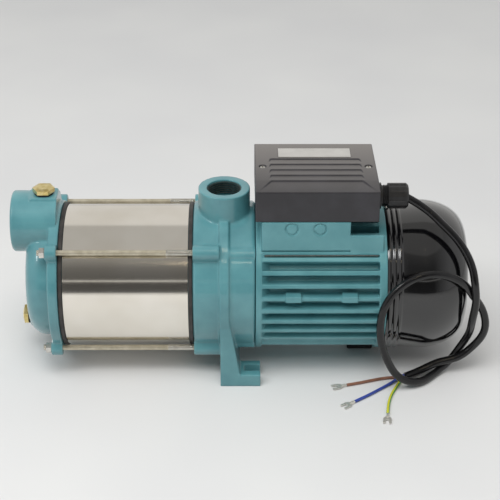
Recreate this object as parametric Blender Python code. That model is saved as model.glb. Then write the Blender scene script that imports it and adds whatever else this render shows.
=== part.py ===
"""Horizontal multistage garden pump: pump end, finned motor, terminal box and power cable.

The pump frame has its origin where the discharge port's axis crosses the shaft axis.
X runs along the shaft to the fan, Y to the rear and Z up. The front faces -Y.
"""
import math

import bmesh
import bpy
import numpy as np
from mathutils import Matrix, Vector

MM = 0.001

# Fits and facets
GAP = 0.3 * MM  # between pieces that touch
MERGE = 0.001 * MM  # points closer than this are one point
ROUND = 32  # sides of the large castings; each smaller count divides it, so nested pieces line up
MEDIUM = 16
SMALL = 8
CORNER_STEPS = 5  # facets over a turned corner
SMOOTH_ANGLE = 32  # degrees between faces that stay shaded as one surface
BEVEL_ANGLE = 40
SOFT_EDGE = 1 * MM  # rounding of the rubber rest and the capacitor

# Stand
SHAFT_HEIGHT = 88 * MM
FOOT_SPREAD = 151 * MM  # front face of one foot to the rear face of the other
FOOT_LENGTH = 40 * MM
FOOT_DEPTH = 27.5 * MM
FOOT_THICKNESS = 13.5 * MM
FOOT_SLOT_LENGTH = 16.5 * MM
FOOT_SLOT_WIDTH = 11 * MM
FOOT_SLOT_INSET = 15 * MM  # slot's middle from the foot's outer face

# Ports, both for a 1 inch pipe thread
PORT_BORE_RADIUS = 17 * MM
DISCHARGE_BOSS_WALL = 8.6 * MM
DISCHARGE_HEIGHT = 98.3 * MM  # port face above the shaft
SUCTION_BOSS_WALL = 13.6 * MM
SUCTION_RISE = 61 * MM  # suction port's axis above the shaft
SUCTION_REACH = 38 * MM  # port face beyond the cover's flange
PORT_CHAMFER = 1.5 * MM

# Pump shell and what closes it
SHELL_LENGTH = 122.4 * MM
SHELL_RADIUS = 71.2 * MM
SHELL_WALL = 1.2 * MM
GASKET_WIDTH = 4.6 * MM
GASKET_RIM = 1.6 * MM  # rubber standing out past the shell
SPIGOT_DEPTH = 6 * MM  # reach of cover and casing into the shell
FLANGE_STEP = 2.2 * MM  # flange rim beyond the gasket
FLANGE_THICKNESS = 10 * MM
FLANGE_CHAMFER = 1.2 * MM
CASTING_WALL = 6 * MM
DRUM_RADIUS = 62 * MM
DRUM_DEPTH = 24.4 * MM
DRUM_CORNER = 17 * MM

# Discharge casing
CASING_LENGTH = 61.2 * MM
CASING_RADIUS = 74.5 * MM
CASING_CHAMFER = 2 * MM
CASING_RIB_WIDTH = 9.6 * MM
CASING_RIB_HEIGHT = 3.5 * MM
CHAMBER_DEPTH = 35 * MM
LEG_START = -4 * MM  # leg's pump side along the shaft
LEG_TOP_WIDTH = 8.8 * MM
LEG_FOOT_WIDTH = 19.6 * MM
LEG_TOP = -10 * MM
ARCH_HEIGHT = 9 * MM  # floor to the casing's underside between the feet

# Tie rods of the pump and bolts of the motor
ROD_CIRCLE = 77 * MM
ROD_RADIUS = 3 * MM
ROD_SHANK_CUT = 0.3 * MM
ROD_THREAD_LENGTH = 27 * MM
ROD_END = 2.5 * MM  # thread past the nut
ROD_BITE = 20 * MM  # screwed into the casing
ROD_LUG_WALL = 4.7 * MM
ROD_LUG_STEP = 1.5 * MM
LUG_SPREAD = 11 * MM  # half of a lug's width where it leaves its rim
LUG_ROOT = 8 * MM  # a lug's reach inside its rim
NUT_WIDTH = 10 * MM
NUT_HEIGHT = 5 * MM
BOLT_CIRCLE = 69 * MM
BOLT_RADIUS = 2.4 * MM
BOLT_BITE = 14 * MM
BOLT_LUG_WALL = 4.4 * MM
BOLT_HEAD_RADIUS = 3.4 * MM
BOLT_HEAD_HEIGHT = 3.6 * MM
THREAD_END_ROOM = 2 * MM  # blind hole past a thread's end

# Shaft, its seal and the pump stages
STAGES = 4
SHAFT_RADIUS = 8 * MM
FRONT_JOURNAL_RADIUS = 8.5 * MM
CORE_JOURNAL_RADIUS = 11 * MM
REAR_JOURNAL_RADIUS = 7.5 * MM
FAN_JOURNAL_RADIUS = 7 * MM
STUD_RADIUS = 6 * MM
STUD_LENGTH = 14 * MM
SHAFT_NUT_WIDTH = 17 * MM
SHAFT_NUT_HEIGHT = 9 * MM
SEAL_BORE_RADIUS = 16 * MM
SEAL_SEAT_DEPTH = 7 * MM
SEAL_HEAD_RADIUS = 14 * MM
SEAL_HEAD_STEP = 3 * MM
IMPELLER_RADIUS = 57 * MM
IMPELLER_NECK_RADIUS = 19 * MM
IMPELLER_NECK_WALL = 1.8 * MM
IMPELLER_CHANNEL = 8 * MM
IMPELLER_HUB_RADIUS = 12.5 * MM
IMPELLER_RUN = 2.8 * MM  # stage's start to the front shroud
IMPELLER_VANES = 5
VANE_SWEEP = 62
VANE_THICKNESS = 2.2 * MM
SHEET = 1.8 * MM
GUIDE_VANES = 6
GUIDE_SWEEP = -31
GUIDE_RUN = 2.6 * MM  # impeller's back to the guide vanes
RUNNING_GAP = 0.8 * MM

# Motor
FRAME_LENGTH = 128.2 * MM
FRAME_BORE = 60 * MM
FRAME_WALL = 6 * MM
BELLY_WALL = 11 * MM
FIN_HEIGHT = 9 * MM
FIN_TIP = 4.4 * MM
FIN_ROOT = 6.4 * MM
FIN_PITCH = 10  # degrees
SIDE_FINS = tuple(range(-30, 50, FIN_PITCH))  # degrees up from the front
TOP_FINS = tuple(range(60, 130, FIN_PITCH))
FRONT_FLANGE = 5.6 * MM
REAR_FLANGE = 7.6 * MM
FLANGE_LIP = 0.3 * MM
FIN_RAMP = 8.5 * MM  # grooves rise to the front flange over this length
RAIL_WALL = 2.2 * MM
FIN_PAD_STARTS = (29 * MM, 84 * MM)  # flat pads on one fin, from the frame's front face
FIN_PAD_LENGTH = 15.4 * MM
FIN_PAD_HEIGHT = 7 * MM
FIN_PAD_MIDDLE = 13.5 * MM
FIN_PAD_STEP = 0.9 * MM
FIN_PAD_CORNER = 1.6 * MM
CORE_START = 27 * MM  # stator core from the frame's front face
CORE_LENGTH = 62 * MM
STATOR_SLOTS = 12
SLOT_DEPTH = 15 * MM
SLOT_WIDTH = 8 * MM
END_TURN = 13 * MM
AIR_GAP = 0.4 * MM
ROTOR_RADIUS = 30 * MM
END_RING = 7 * MM

# Rolling bearings
FRONT_BEARING_RADIUS = 20 * MM
FRONT_BEARING_WIDTH = 12 * MM
REAR_BEARING_RADIUS = 17.5 * MM
REAR_BEARING_WIDTH = 11 * MM
BEARING_GROOVE = 0.8 * MM

# Fan end
SHIELD_THICKNESS = 4.6 * MM
SHIELD_SPIGOT = 4 * MM
SHIELD_HUB_WALL = 6 * MM
FAN_COVER_LENGTH = 82 * MM
FAN_COVER_STEP = 0.7 * MM  # bead crests outside the motor's flanges
FAN_COVER_WALL = 1.8 * MM
FAN_COVER_SHOULDER = 45.4 * MM
FAN_COVER_FACE = 48 * MM
FAN_COVER_BEADS = 3
BEAD_HEIGHT = 1.1 * MM
BEAD_PITCH = 5.2 * MM
GRILLE_SLOTS = 16
GRILLE_INNER = 16 * MM
GRILLE_OUTER = 44 * MM
GRILLE_SLOT_WIDTH = 4.4 * MM
FAN_BLADES = 7
FAN_RADIUS = 60 * MM
FAN_WIDTH = 24 * MM
FAN_DISC = 38 * MM
FAN_HUB_RADIUS = 13 * MM
FAN_SETBACK = 12 * MM  # shield to the fan's hub
COVER_SCREW_RADIUS = 1.8 * MM
COVER_SCREW_LENGTH = 9 * MM
REST_START = 97 * MM  # motor rest from the frame's front face
REST_LENGTH = 26 * MM
REST_DEPTH = 14 * MM
REST_TAPER = 2 * MM
REST_BOSS_DROP = 75.3 * MM

# Terminal box
BASE_START = 5.5 * MM  # cast box from the frame's front face
BASE_LENGTH = 86 * MM
BASE_HALF_DEPTH = 53 * MM
BASE_TOP = 86.6 * MM
BASE_WALL = 5 * MM
BASE_FLOOR = 71 * MM
BASE_SINK = 50 * MM  # lowest point of the cast walls
SKIRT_TOP = 72 * MM
SKIRT_WALL = 3.5 * MM
WIRE_HOLE_RADIUS = 7 * MM
WIRE_HOLE_PLACE = 28.7 * MM  # from the cast box's left end
KNOCKOUT_PLACES = (34.6 * MM, 62 * MM)  # round sinks in the cast box's front, from the frame's front face
KNOCKOUT_RADIUS = 6.5 * MM
KNOCKOUT_DROP = 7.7 * MM  # below the cast box's top
KNOCKOUT_DEPTH = 0.7 * MM
LID_START = -0.6 * MM  # lid from the frame's front face
LID_LENGTH = 119 * MM
LID_HALF_DEPTH = 52.5 * MM
LID_HEIGHT = 32 * MM  # rim to the front fold
LID_RISE = 2.3 * MM  # front fold to the top
LID_SLOPE = 21.4 * MM
LID_WALL = 2.6 * MM
LOUVRES = 4
LOUVRE_PITCH = 12.2 * MM
LOUVRE_DROP = 1.4 * MM
LOUVRE_INSET = 15.5 * MM
LOUVRE_FLARE = 3 * MM
SLOPE_FLARE = 14.2 * MM  # the sloped front's step widens by this down to the fold
TRAY_THICKNESS = 2.5 * MM
POST_RADIUS = 3.6 * MM
LID_SCREW_INSET = 7.5 * MM
LID_SCREW_RADIUS = 1.8 * MM
LID_SCREW_HEAD = 3.2 * MM
LID_SCREW_SINK = 3.5 * MM
LID_SCREW_BITE = 9 * MM
PLATE_LENGTH = 72 * MM
PLATE_WIDTH = 20 * MM
PLATE_THICKNESS = 0.7 * MM
PLATE_RECESS = 0.6 * MM
PLATE_SETBACK = 30.5 * MM  # plate's middle behind the shaft
TERMINALS = 6
TERMINAL_PITCH = 9 * MM
TERMINAL_GROOVE = 4.5 * MM
TERMINAL_BLOCK_DEPTH = 20 * MM
TERMINAL_BLOCK_HEIGHT = 12 * MM
TERMINAL_BLOCK_START = 32 * MM  # from the lid's left end
TERMINAL_BLOCK_AHEAD = 14 * MM  # block's middle before the shaft
CAPACITOR_RADIUS = 12.5 * MM
CAPACITOR_LENGTH = 75 * MM
CAPACITOR_START = 22 * MM  # from the lid's left end
CAPACITOR_BEHIND = 28 * MM  # capacitor's axis behind the shaft

# Cable gland
GLAND_AHEAD = 27 * MM  # gland axis before the shaft
GLAND_RISE = 15.7 * MM  # gland axis above the lid's rim
GLAND_RADIUS = 12.8 * MM
GLAND_TAIL_RADIUS = 9 * MM
GLAND_THREAD_RADIUS = 10 * MM
GLAND_COLLAR = 2.6 * MM
GLAND_THREAD_SHOWN = 6.6 * MM
GLAND_NUT_LENGTH = 19.6 * MM
GLAND_NUT_CHAMFER = 2 * MM
GLAND_NUT_FLUTES = 8
GLAND_FLUTE_WIDTH = 2 * MM
GLAND_FLUTE_INSET = 1 * MM
GLAND_THREAD_BITE = 6.5 * MM  # thread inside the nut
GLAND_MOUTH_RADIUS = 7.6 * MM
GLAND_MOUTH_DEPTH = 6 * MM
LOCKNUT_THICKNESS = 3.5 * MM
LOCKNUT_WIDTH = 22 * MM

# Plugs
PLUG_WIDTH = 19 * MM
PLUG_HEAD = 4 * MM
PLUG_DOME = 1.4 * MM
PLUG_CROWN_RADIUS = 6.3 * MM
PLUG_BORE_RADIUS = 8 * MM
PLUG_SHANK = 9 * MM
PLUG_SEAL = 1.5 * MM
PAD_HALF_WIDTH = 12.5 * MM
PAD_LENGTH = 27 * MM
PAD_SETBACK = 2.6 * MM  # suction boss and pad end short of the sealing face
DRAIN_DROP = 48 * MM
DRAIN_BOSS_RADIUS = 12.5 * MM
DRAIN_BOSS_HEIGHT = 4 * MM

# Power cable: sheath, cores and fork terminals
SHEATH_RADIUS = 3.9 * MM
CORE_WIRE_RADIUS = 1.5 * MM
FORK_BARREL_RADIUS = 1.6 * MM
FORK_BARREL_LENGTH = 5 * MM
FORK_LENGTH = 15 * MM
FORK_WIDTH = 8 * MM
FORK_GAP = 3.6 * MM
FORK_THICKNESS = 0.8 * MM

# Stations along the shaft
CASING_RIGHT = CASING_LENGTH / 2
CASING_LEFT = -CASING_RIGHT
SHELL_RIGHT = CASING_LEFT - GASKET_WIDTH
SHELL_LEFT = SHELL_RIGHT - SHELL_LENGTH
COVER_FACE = SHELL_LEFT - GASKET_WIDTH
FLANGE_LEFT = COVER_FACE - FLANGE_THICKNESS
DRUM_LEFT = FLANGE_LEFT - DRUM_DEPTH
SUCTION_LEFT = FLANGE_LEFT - SUCTION_REACH
CHAMBER_END = CASING_LEFT + CHAMBER_DEPTH
FRAME_LEFT = CASING_RIGHT + GAP
FRAME_RIGHT = FRAME_LEFT + FRAME_LENGTH
SHIELD_LEFT = FRAME_RIGHT + GAP
SHIELD_RIGHT = SHIELD_LEFT + SHIELD_THICKNESS
FAN_END = SHIELD_LEFT + FAN_COVER_LENGTH
CORE_LEFT = FRAME_LEFT + CORE_START
CORE_RIGHT = CORE_LEFT + CORE_LENGTH
FRONT_BEARING_LEFT = CASING_RIGHT - FRONT_BEARING_WIDTH - GAP
REAR_BEARING_RIGHT = SHIELD_RIGHT - SHIELD_THICKNESS / 2
REAR_BEARING_LEFT = REAR_BEARING_RIGHT - REAR_BEARING_WIDTH
FAN_LEFT = SHIELD_RIGHT + FAN_SETBACK
PORT_X = -(SUCTION_LEFT + FAN_END) / 2  # centres the pump's length on the origin

# Radii and heights that follow
GASKET_INNER = SHELL_RADIUS - SHELL_WALL
GASKET_OUTER = SHELL_RADIUS + GASKET_RIM
SPIGOT_RADIUS = GASKET_INNER - GAP
FLANGE_RADIUS = GASKET_OUTER + FLANGE_STEP
CHAMBER_RADIUS = SPIGOT_RADIUS - CASTING_WALL
DISCHARGE_BOSS_RADIUS = PORT_BORE_RADIUS + DISCHARGE_BOSS_WALL
SUCTION_BOSS_RADIUS = PORT_BORE_RADIUS + SUCTION_BOSS_WALL
PAD_TOP = SUCTION_RISE + SUCTION_BOSS_RADIUS + GAP
PAD_RIGHT = COVER_FACE - PAD_SETBACK
ROD_LUG_RADIUS = ROD_RADIUS + ROD_LUG_WALL
ROD_HOLE = ROD_RADIUS + GAP
NUT_SEAT = FLANGE_LEFT - ROD_LUG_STEP
BOLT_HOLE = BOLT_RADIUS + GAP
BOLT_LUG_RADIUS = BOLT_RADIUS + BOLT_LUG_WALL
RAIL_RADIUS = BOLT_HOLE + RAIL_WALL
GROOVE_RADIUS = FRAME_BORE + FRAME_WALL
FIN_RADIUS = GROOVE_RADIUS + FIN_HEIGHT
MOTOR_FLANGE_RADIUS = FIN_RADIUS + FLANGE_LIP
FAN_COVER_RADIUS = MOTOR_FLANGE_RADIUS + FAN_COVER_STEP
SHIELD_RADIUS = FAN_COVER_RADIUS - BEAD_HEIGHT - FAN_COVER_WALL - GAP
SHAFT_HOLE = FRONT_JOURNAL_RADIUS + RUNNING_GAP
FLOOR = -SHAFT_HEIGHT
FOOT_TOP = FLOOR + FOOT_THICKNESS
LID_LEFT = FRAME_LEFT + LID_START
LID_RIGHT = LID_LEFT + LID_LENGTH
LID_MIDDLE = LID_LEFT + LID_LENGTH / 2
LID_RIM = BASE_TOP + GAP
LID_FOLD = LID_RIM + LID_HEIGHT
LID_TOP = LID_FOLD + LID_RISE
LID_CEILING = LID_FOLD - LID_WALL
TRAY_TOP = LID_RIM + TRAY_THICKNESS
GLAND_AXIS = (-GLAND_AHEAD, LID_RIM + GLAND_RISE)
GLAND_THREAD_LEFT = LID_RIGHT + GAP + GLAND_COLLAR
GLAND_NUT_LEFT = GLAND_THREAD_LEFT + GLAND_THREAD_SHOWN
GLAND_NUT_RIGHT = GLAND_NUT_LEFT + GLAND_NUT_LENGTH
GLAND_SEAL_RIGHT = GLAND_NUT_RIGHT - GLAND_MOUTH_DEPTH
STAGE_LEFT = SHELL_LEFT + SPIGOT_DEPTH + GAP
STAGE_PITCH = (SHELL_RIGHT - SPIGOT_DEPTH - STAGE_LEFT) / STAGES
IMPELLER_BACK = IMPELLER_RUN + SHEET + IMPELLER_CHANNEL + SHEET
HUB_START = IMPELLER_RUN + SHEET
HUB_STACK_LEFT = STAGE_LEFT + HUB_START
HUB_STACK_RIGHT = HUB_STACK_LEFT + STAGES * STAGE_PITCH

# Power cable's route in the pump frame, in millimetres, from the gland to the stripped end
CABLE_ROUTE = (
    (174.8, -27.1, 102.3), (180.5, -27.4, 99.2), (189.5, -29.2, 94.2), (201, -34.2, 87.3),
    (212, -40.5, 78.6), (224, -47.5, 68.3), (234.7, -54.2, 54.6), (242, -60.7, 38.7),
    (245, -66.5, 22.5), (247, -66, 4.5), (246, -63.5, -14), (246.5, -55, -31.5),
    (245, -44.5, -50), (237, -42.5, -67.5), (228, -47, -77.5), (219, -53, -82.5),
    (208, -64, -84), (197, -74.5, -82.5), (184, -80.5, -78.5), (172, -82.5, -70),
    (163, -84, -55), (156, -84.5, -37), (152.5, -84, -17), (154, -83, 4),
    (163, -80, 22), (177.5, -77, 34.5), (197, -73.5, 40.5), (217, -70, 37),
    (235.1, -64.7, 23.8), (245.4, -57.6, 7.3), (255.5, -53, -9), (261, -52.5, -26),
    (260, -50, -43), (250.5, -49, -58.5), (236.5, -52, -68.5), (218, -53.5, -73.5),
    (199.5, -57.5, -80.5), (183, -64, -83.9),
)

# Each core's route from the stripped end to its fork terminal, in millimetres
CORE_ROUTES = {
    "brown": ((181.4, -62.4, -84.9), (176, -62.4, -85.9), (166, -63, -86.3), (152, -66.5, -86.3),
              (137, -71.5, -86.3), (122.8, -75.6, -86.3)),
    "blue": ((181.7, -64.4, -81.9), (177.5, -66, -83.4), (170, -71, -85.6), (158, -81, -86.3),
             (143, -93.5, -86.3), (128.8, -104.2, -86.3)),
    "earth": ((182.8, -65.9, -84.9), (178.5, -69, -85.9), (173, -78, -86.3), (167.5, -90, -86.3),
              (163, -104, -86.3), (160.8, -116, -86.3), (159.6, -125, -86.3)),
}
CORE_COLOURS = {"brown": "7A4A35", "blue": "3A4FA8", "earth": "A9B83A"}


def on_circle(radius, degrees):
    """Point (y, z) round the shaft: 0 degrees faces the front, 90 degrees is up."""
    angle = math.radians(degrees)
    return (-radius * math.cos(angle), radius * math.sin(angle))


def four_corners(radius):
    """The four places at 45 degrees round the shaft."""
    return [on_circle(radius, angle) for angle in (45, 135, 225, 315)]


def circle(radius, segments=MEDIUM, centre=(0.0, 0.0)):
    """Points of a circle, the first straight above its centre."""
    turns = [math.tau * i / segments for i in range(segments)]
    return [(centre[0] + radius * math.sin(t), centre[1] + radius * math.cos(t)) for t in turns]


def arc(centre, radius, start, end, steps):
    """Points along an arc, angles in degrees from the first axis."""
    angles = [math.radians(start + (end - start) * i / steps) for i in range(steps + 1)]
    return [(centre[0] + radius * math.cos(a), centre[1] + radius * math.sin(a)) for a in angles]


def hexagon(across_flats, centre=(0.0, 0.0)):
    """Six corners of a hexagon."""
    return circle(across_flats / math.sqrt(3), 6, centre)


def turned(outline, segments=ROUND, centre=(0.0, 0.0)):
    """Body turned about an X axis from (x, radius) points: a ring, or closed on the axis."""
    bm = bmesh.new()
    verts = [bm.verts.new((x, 0.0, radius)) for x, radius in outline]
    pairs = list(zip(verts, verts[1:]))
    if outline[0][1] > 0.0:
        pairs.append((verts[-1], verts[0]))
    edges = [bm.edges.new(pair) for pair in pairs]
    bmesh.ops.spin(bm, geom=verts + edges, cent=(0, 0, 0), axis=(1, 0, 0), angle=math.tau,
                   steps=segments, use_merge=True)
    bmesh.ops.remove_doubles(bm, verts=bm.verts[:], dist=MERGE)
    bmesh.ops.translate(bm, verts=bm.verts[:], vec=(0.0, centre[0], centre[1]))
    bmesh.ops.recalc_face_normals(bm, faces=bm.faces[:])
    return bm


def extruded(outline, start, end, axis="X", holes=()):
    """Outline, with any holes, extruded along an axis; its points are the other two coordinates."""
    place = {
        "X": lambda along, a, b: (along, a, b),
        "Y": lambda along, a, b: (a, along, b),
        "Z": lambda along, a, b: (a, b, along),
    }[axis]
    bm = bmesh.new()
    edges = []
    for loop in (outline, *holes):
        verts = [bm.verts.new(place(start, a, b)) for a, b in loop]
        edges += [bm.edges.new(pair) for pair in zip(verts, verts[1:] + verts[:1])]
    if holes:
        bmesh.ops.triangle_fill(bm, edges=edges, use_beauty=True)
    else:
        bm.faces.new(bm.verts[:])
    grown = bmesh.ops.extrude_face_region(bm, geom=bm.faces[:])
    moved = [item for item in grown["geom"] if isinstance(item, bmesh.types.BMVert)]
    bmesh.ops.translate(bm, verts=moved, vec=place(end - start, 0.0, 0.0))
    bmesh.ops.recalc_face_normals(bm, faces=bm.faces[:])
    return bm


def rod(radius, start, end, centre=(0.0, 0.0), axis="X", segments=SMALL):
    """Plain round bar along an axis."""
    return extruded(circle(radius, segments, centre), start, end, axis)


def tube(outer, inner, start, end, centre=(0.0, 0.0), segments=SMALL):
    """Plain ring along the shaft."""
    return turned([(start, inner), (start, outer), (end, outer), (end, inner)], segments, centre)


def block(low, high):
    """Block between two corners."""
    outline = [(low[1], low[2]), (high[1], low[2]), (high[1], high[2]), (low[1], high[2])]
    return extruded(outline, low[0], high[0])


def hull(points):
    """Convex body round its corners."""
    bm = bmesh.new()
    verts = [bm.verts.new(point) for point in points]
    bmesh.ops.convex_hull(bm, input=verts)
    inside = [vert for vert in bm.verts if not vert.link_faces]
    bmesh.ops.delete(bm, geom=inside, context="VERTS")
    bmesh.ops.recalc_face_normals(bm, faces=bm.faces[:])
    return bm


def lugs(radius, spots, rim, start, end):
    """Lugs round bolts or rods, each widening to where it leaves a round rim."""
    shapes = []
    for spot in spots:
        outward = Vector(spot).normalized()
        along = Vector((-outward.y, outward.x))
        root = outward * (rim - LUG_ROOT)
        outline = [*circle(radius, MEDIUM, spot), root - along * LUG_SPREAD, root + along * LUG_SPREAD]
        shapes.append(hull([(x, y, z) for x in (start, end) for y, z in outline]))
    return shapes


def together(shapes):
    """Separate closed bodies in one mesh."""
    whole = bmesh.new()
    for shape in shapes:
        mesh = bpy.data.meshes.new("piece")
        shape.to_mesh(mesh)
        shape.free()
        whole.from_mesh(mesh)
        bpy.data.meshes.remove(mesh)
    return whole


def placed(shape, matrix):
    """Shape turned and moved by a matrix."""
    bmesh.ops.transform(shape, matrix=matrix, verts=shape.verts[:])
    return shape


def fused(body, add=(), cut=()):
    """Body with shapes joined to it and then others cut from it, by exact booleans."""
    def work_object(shape):
        mesh = bpy.data.meshes.new("work")
        shape.to_mesh(mesh)
        shape.free()
        item = bpy.data.objects.new("work", mesh)
        item.hide_render = True
        item.display_type = "WIRE"
        bpy.context.scene.collection.objects.link(item)
        return item

    base = work_object(body)
    tools = []
    for operation, shapes in (("UNION", add), ("DIFFERENCE", cut)):
        for shape in shapes:
            tools.append(work_object(shape))
            step = base.modifiers.new(operation.title(), "BOOLEAN")
            step.operation = operation
            step.solver = "EXACT"
            step.object = tools[-1]
    evaluated = base.evaluated_get(bpy.context.evaluated_depsgraph_get())
    result = bmesh.new()
    result.from_mesh(evaluated.to_mesh())
    for item in [base] + tools:
        bpy.data.objects.remove(item)
    bmesh.ops.remove_doubles(result, verts=result.verts[:], dist=MERGE)
    return result


def finish(name, colour, roughness, metallic=0.0):
    """Principled material from an sRGB hex colour."""
    channels = [int(colour[i:i + 2], 16) / 255 for i in (0, 2, 4)]
    linear = [c / 12.92 if c <= 0.04045 else ((c + 0.055) / 1.055) ** 2.4 for c in channels]
    material = bpy.data.materials.new(name)
    material.use_nodes = True
    shader = material.node_tree.nodes["Principled BSDF"]
    shader.inputs["Base Color"].default_value = (*linear, 1.0)
    shader.inputs["Roughness"].default_value = roughness
    shader.inputs["Metallic"].default_value = metallic
    material.diffuse_color = (*linear, 1.0)
    return material


def part(name, shape, colour, roughness, metallic, parent, bevel=0.0):
    """Named sub-part with its own material, shaded smooth except at its sharp edges."""
    mesh = bpy.data.meshes.new(name)
    shape.to_mesh(mesh)
    shape.free()
    mesh.materials.append(finish(name, colour, roughness, metallic))
    mesh.shade_smooth()
    mesh.set_sharp_from_angle(angle=math.radians(SMOOTH_ANGLE))
    item = bpy.data.objects.new(name, mesh)
    item.parent = parent
    bpy.context.scene.collection.objects.link(item)
    if bevel:
        edge = item.modifiers.new("Bevel", "BEVEL")
        edge.width = bevel
        edge.segments = 1
        edge.limit_method = "ANGLE"
        edge.angle_limit = math.radians(BEVEL_ANGLE)
    return item


def row_of(item, count, pitch):
    """Copies of a stage part, one for each stage, that share its mesh."""
    stem = item.name
    item.name = f"{stem}_1"
    for number in range(2, count + 1):
        copy = bpy.data.objects.new(f"{stem}_{number}", item.data)
        copy.parent = item.parent
        copy.location = (pitch * (number - 1), 0.0, 0.0)
        bpy.context.scene.collection.objects.link(copy)


def guide(name, location):
    """Empty that carries pieces."""
    item = bpy.data.objects.new(name, None)
    item.location = location
    bpy.context.scene.collection.objects.link(item)
    return item


def front_cover(frame):
    """Cast suction cover: flange, round-edged drum, suction boss, plug pad and drain boss."""
    bend = (DRUM_LEFT + DRUM_CORNER, DRUM_RADIUS - DRUM_CORNER)
    spigot_end = SHELL_LEFT + SPIGOT_DEPTH
    outside = [(DRUM_LEFT, 0.0), *arc(bend, DRUM_CORNER, 180, 90, CORNER_STEPS), (FLANGE_LEFT, DRUM_RADIUS),
               (FLANGE_LEFT, FLANGE_RADIUS - FLANGE_CHAMFER),
               (FLANGE_LEFT + FLANGE_CHAMFER, FLANGE_RADIUS),
               (COVER_FACE, FLANGE_RADIUS), (COVER_FACE, SPIGOT_RADIUS), (spigot_end, SPIGOT_RADIUS),
               (spigot_end, 0.0)]
    inside = [(DRUM_LEFT + CASTING_WALL, 0.0),
              *arc(bend, DRUM_CORNER - CASTING_WALL, 180, 90, CORNER_STEPS),
              (FLANGE_LEFT, DRUM_RADIUS - CASTING_WALL), (COVER_FACE, CHAMBER_RADIUS),
              (spigot_end + GAP, CHAMBER_RADIUS), (spigot_end + GAP, 0.0)]
    boss = [(SUCTION_LEFT, 0.0), (SUCTION_LEFT, SUCTION_BOSS_RADIUS - PORT_CHAMFER),
            (SUCTION_LEFT + PORT_CHAMFER, SUCTION_BOSS_RADIUS), (PAD_RIGHT, SUCTION_BOSS_RADIUS),
            (PAD_RIGHT, 0.0)]
    pad = block((PAD_RIGHT - PAD_LENGTH, -PAD_HALF_WIDTH, SUCTION_RISE + PORT_BORE_RADIUS),
                (PAD_RIGHT - GAP, PAD_HALF_WIDTH, PAD_TOP))
    drain_face = DRUM_LEFT - DRAIN_BOSS_HEIGHT
    drain_boss = rod(DRAIN_BOSS_RADIUS, drain_face, bend[0], (0.0, -DRAIN_DROP), segments=MEDIUM)
    spots = four_corners(ROD_CIRCLE)
    rod_lugs = lugs(ROD_LUG_RADIUS, spots, FLANGE_RADIUS, FLANGE_LEFT, COVER_FACE)
    nut_seats = [rod(ROD_LUG_RADIUS, NUT_SEAT, COVER_FACE - GAP, spot, segments=MEDIUM) for spot in spots]
    bore = rod(PORT_BORE_RADIUS, SUCTION_LEFT - GAP, PAD_RIGHT - CASTING_WALL, (0.0, SUCTION_RISE),
               segments=ROUND)
    plug_hole = rod(PLUG_BORE_RADIUS, SUCTION_RISE, PAD_TOP + GAP, (PAD_RIGHT - PAD_LENGTH / 2, 0.0), "Z",
                    MEDIUM)
    drain_hole = rod(PLUG_BORE_RADIUS, drain_face - GAP, bend[0], (0.0, -DRAIN_DROP), segments=MEDIUM)
    rod_holes = [rod(ROD_HOLE, NUT_SEAT - GAP, COVER_FACE + GAP, spot) for spot in spots]
    raised = [turned(boss, ROUND, (0.0, SUCTION_RISE)), pad, drain_boss, *rod_lugs, *nut_seats]
    shape = fused(turned(outside), raised,
                  [turned(inside, MEDIUM), bore, plug_hole, drain_hole, *rod_holes])
    part("front_cover", shape, "5A8F94", 0.35, 0.3, frame)


def pipe_plug(name, colour, seat_to_frame, frame):
    """Hexagon plug with a domed head and its seal ring, made along +X and then placed."""
    foot = PLUG_SEAL + 2 * GAP
    crown = foot + PLUG_HEAD
    shank = PLUG_BORE_RADIUS - GAP
    dome = [(foot + GAP, 0.0), (foot + GAP, PLUG_WIDTH / 2 - GAP), (crown, PLUG_WIDTH / 2 - GAP),
            (crown + PLUG_DOME, PLUG_CROWN_RADIUS), (crown + PLUG_DOME, 0.0)]
    body = fused(extruded(hexagon(PLUG_WIDTH), foot, crown),
                 [turned(dome, MEDIUM), rod(shank, -PLUG_SHANK, foot + GAP, segments=MEDIUM)])
    ring = tube(PLUG_WIDTH / 2, PLUG_BORE_RADIUS, GAP, GAP + PLUG_SEAL, segments=MEDIUM)
    part(f"{name}_plug", placed(body, seat_to_frame), colour, 0.3, 1.0, frame)
    part(f"{name}_seal", placed(ring, seat_to_frame), "2A2A2A", 0.7, 0.0, frame)


def pipe_plugs(frame):
    """Brass filler plug on top of the suction boss and drain plug low on the drum's face."""
    top = Matrix.Translation((PAD_RIGHT - PAD_LENGTH / 2, 0.0, PAD_TOP))
    low = Matrix.Translation((DRUM_LEFT - DRAIN_BOSS_HEIGHT, 0.0, -DRAIN_DROP))
    pipe_plug("filler", "B9974E", top @ Matrix.Rotation(-math.pi / 2, 4, "Y"), frame)
    pipe_plug("drain", "B9974E", low @ Matrix.Rotation(math.pi, 4, "Z"), frame)


def pump_shell(frame):
    """Stainless steel tube between the cover and the casing, with a rubber gasket at each end."""
    part("pump_shell", tube(SHELL_RADIUS, GASKET_INNER, SHELL_LEFT, SHELL_RIGHT, segments=ROUND),
         "C9C6C0", 0.18, 1.0, frame)
    for name, start in (("front_gasket", COVER_FACE), ("rear_gasket", SHELL_RIGHT)):
        ring = tube(GASKET_OUTER, GASKET_INNER, start + GAP, start + GASKET_WIDTH - GAP, segments=ROUND)
        part(name, ring, "3B3938", 0.75, 0.0, frame)


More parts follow.
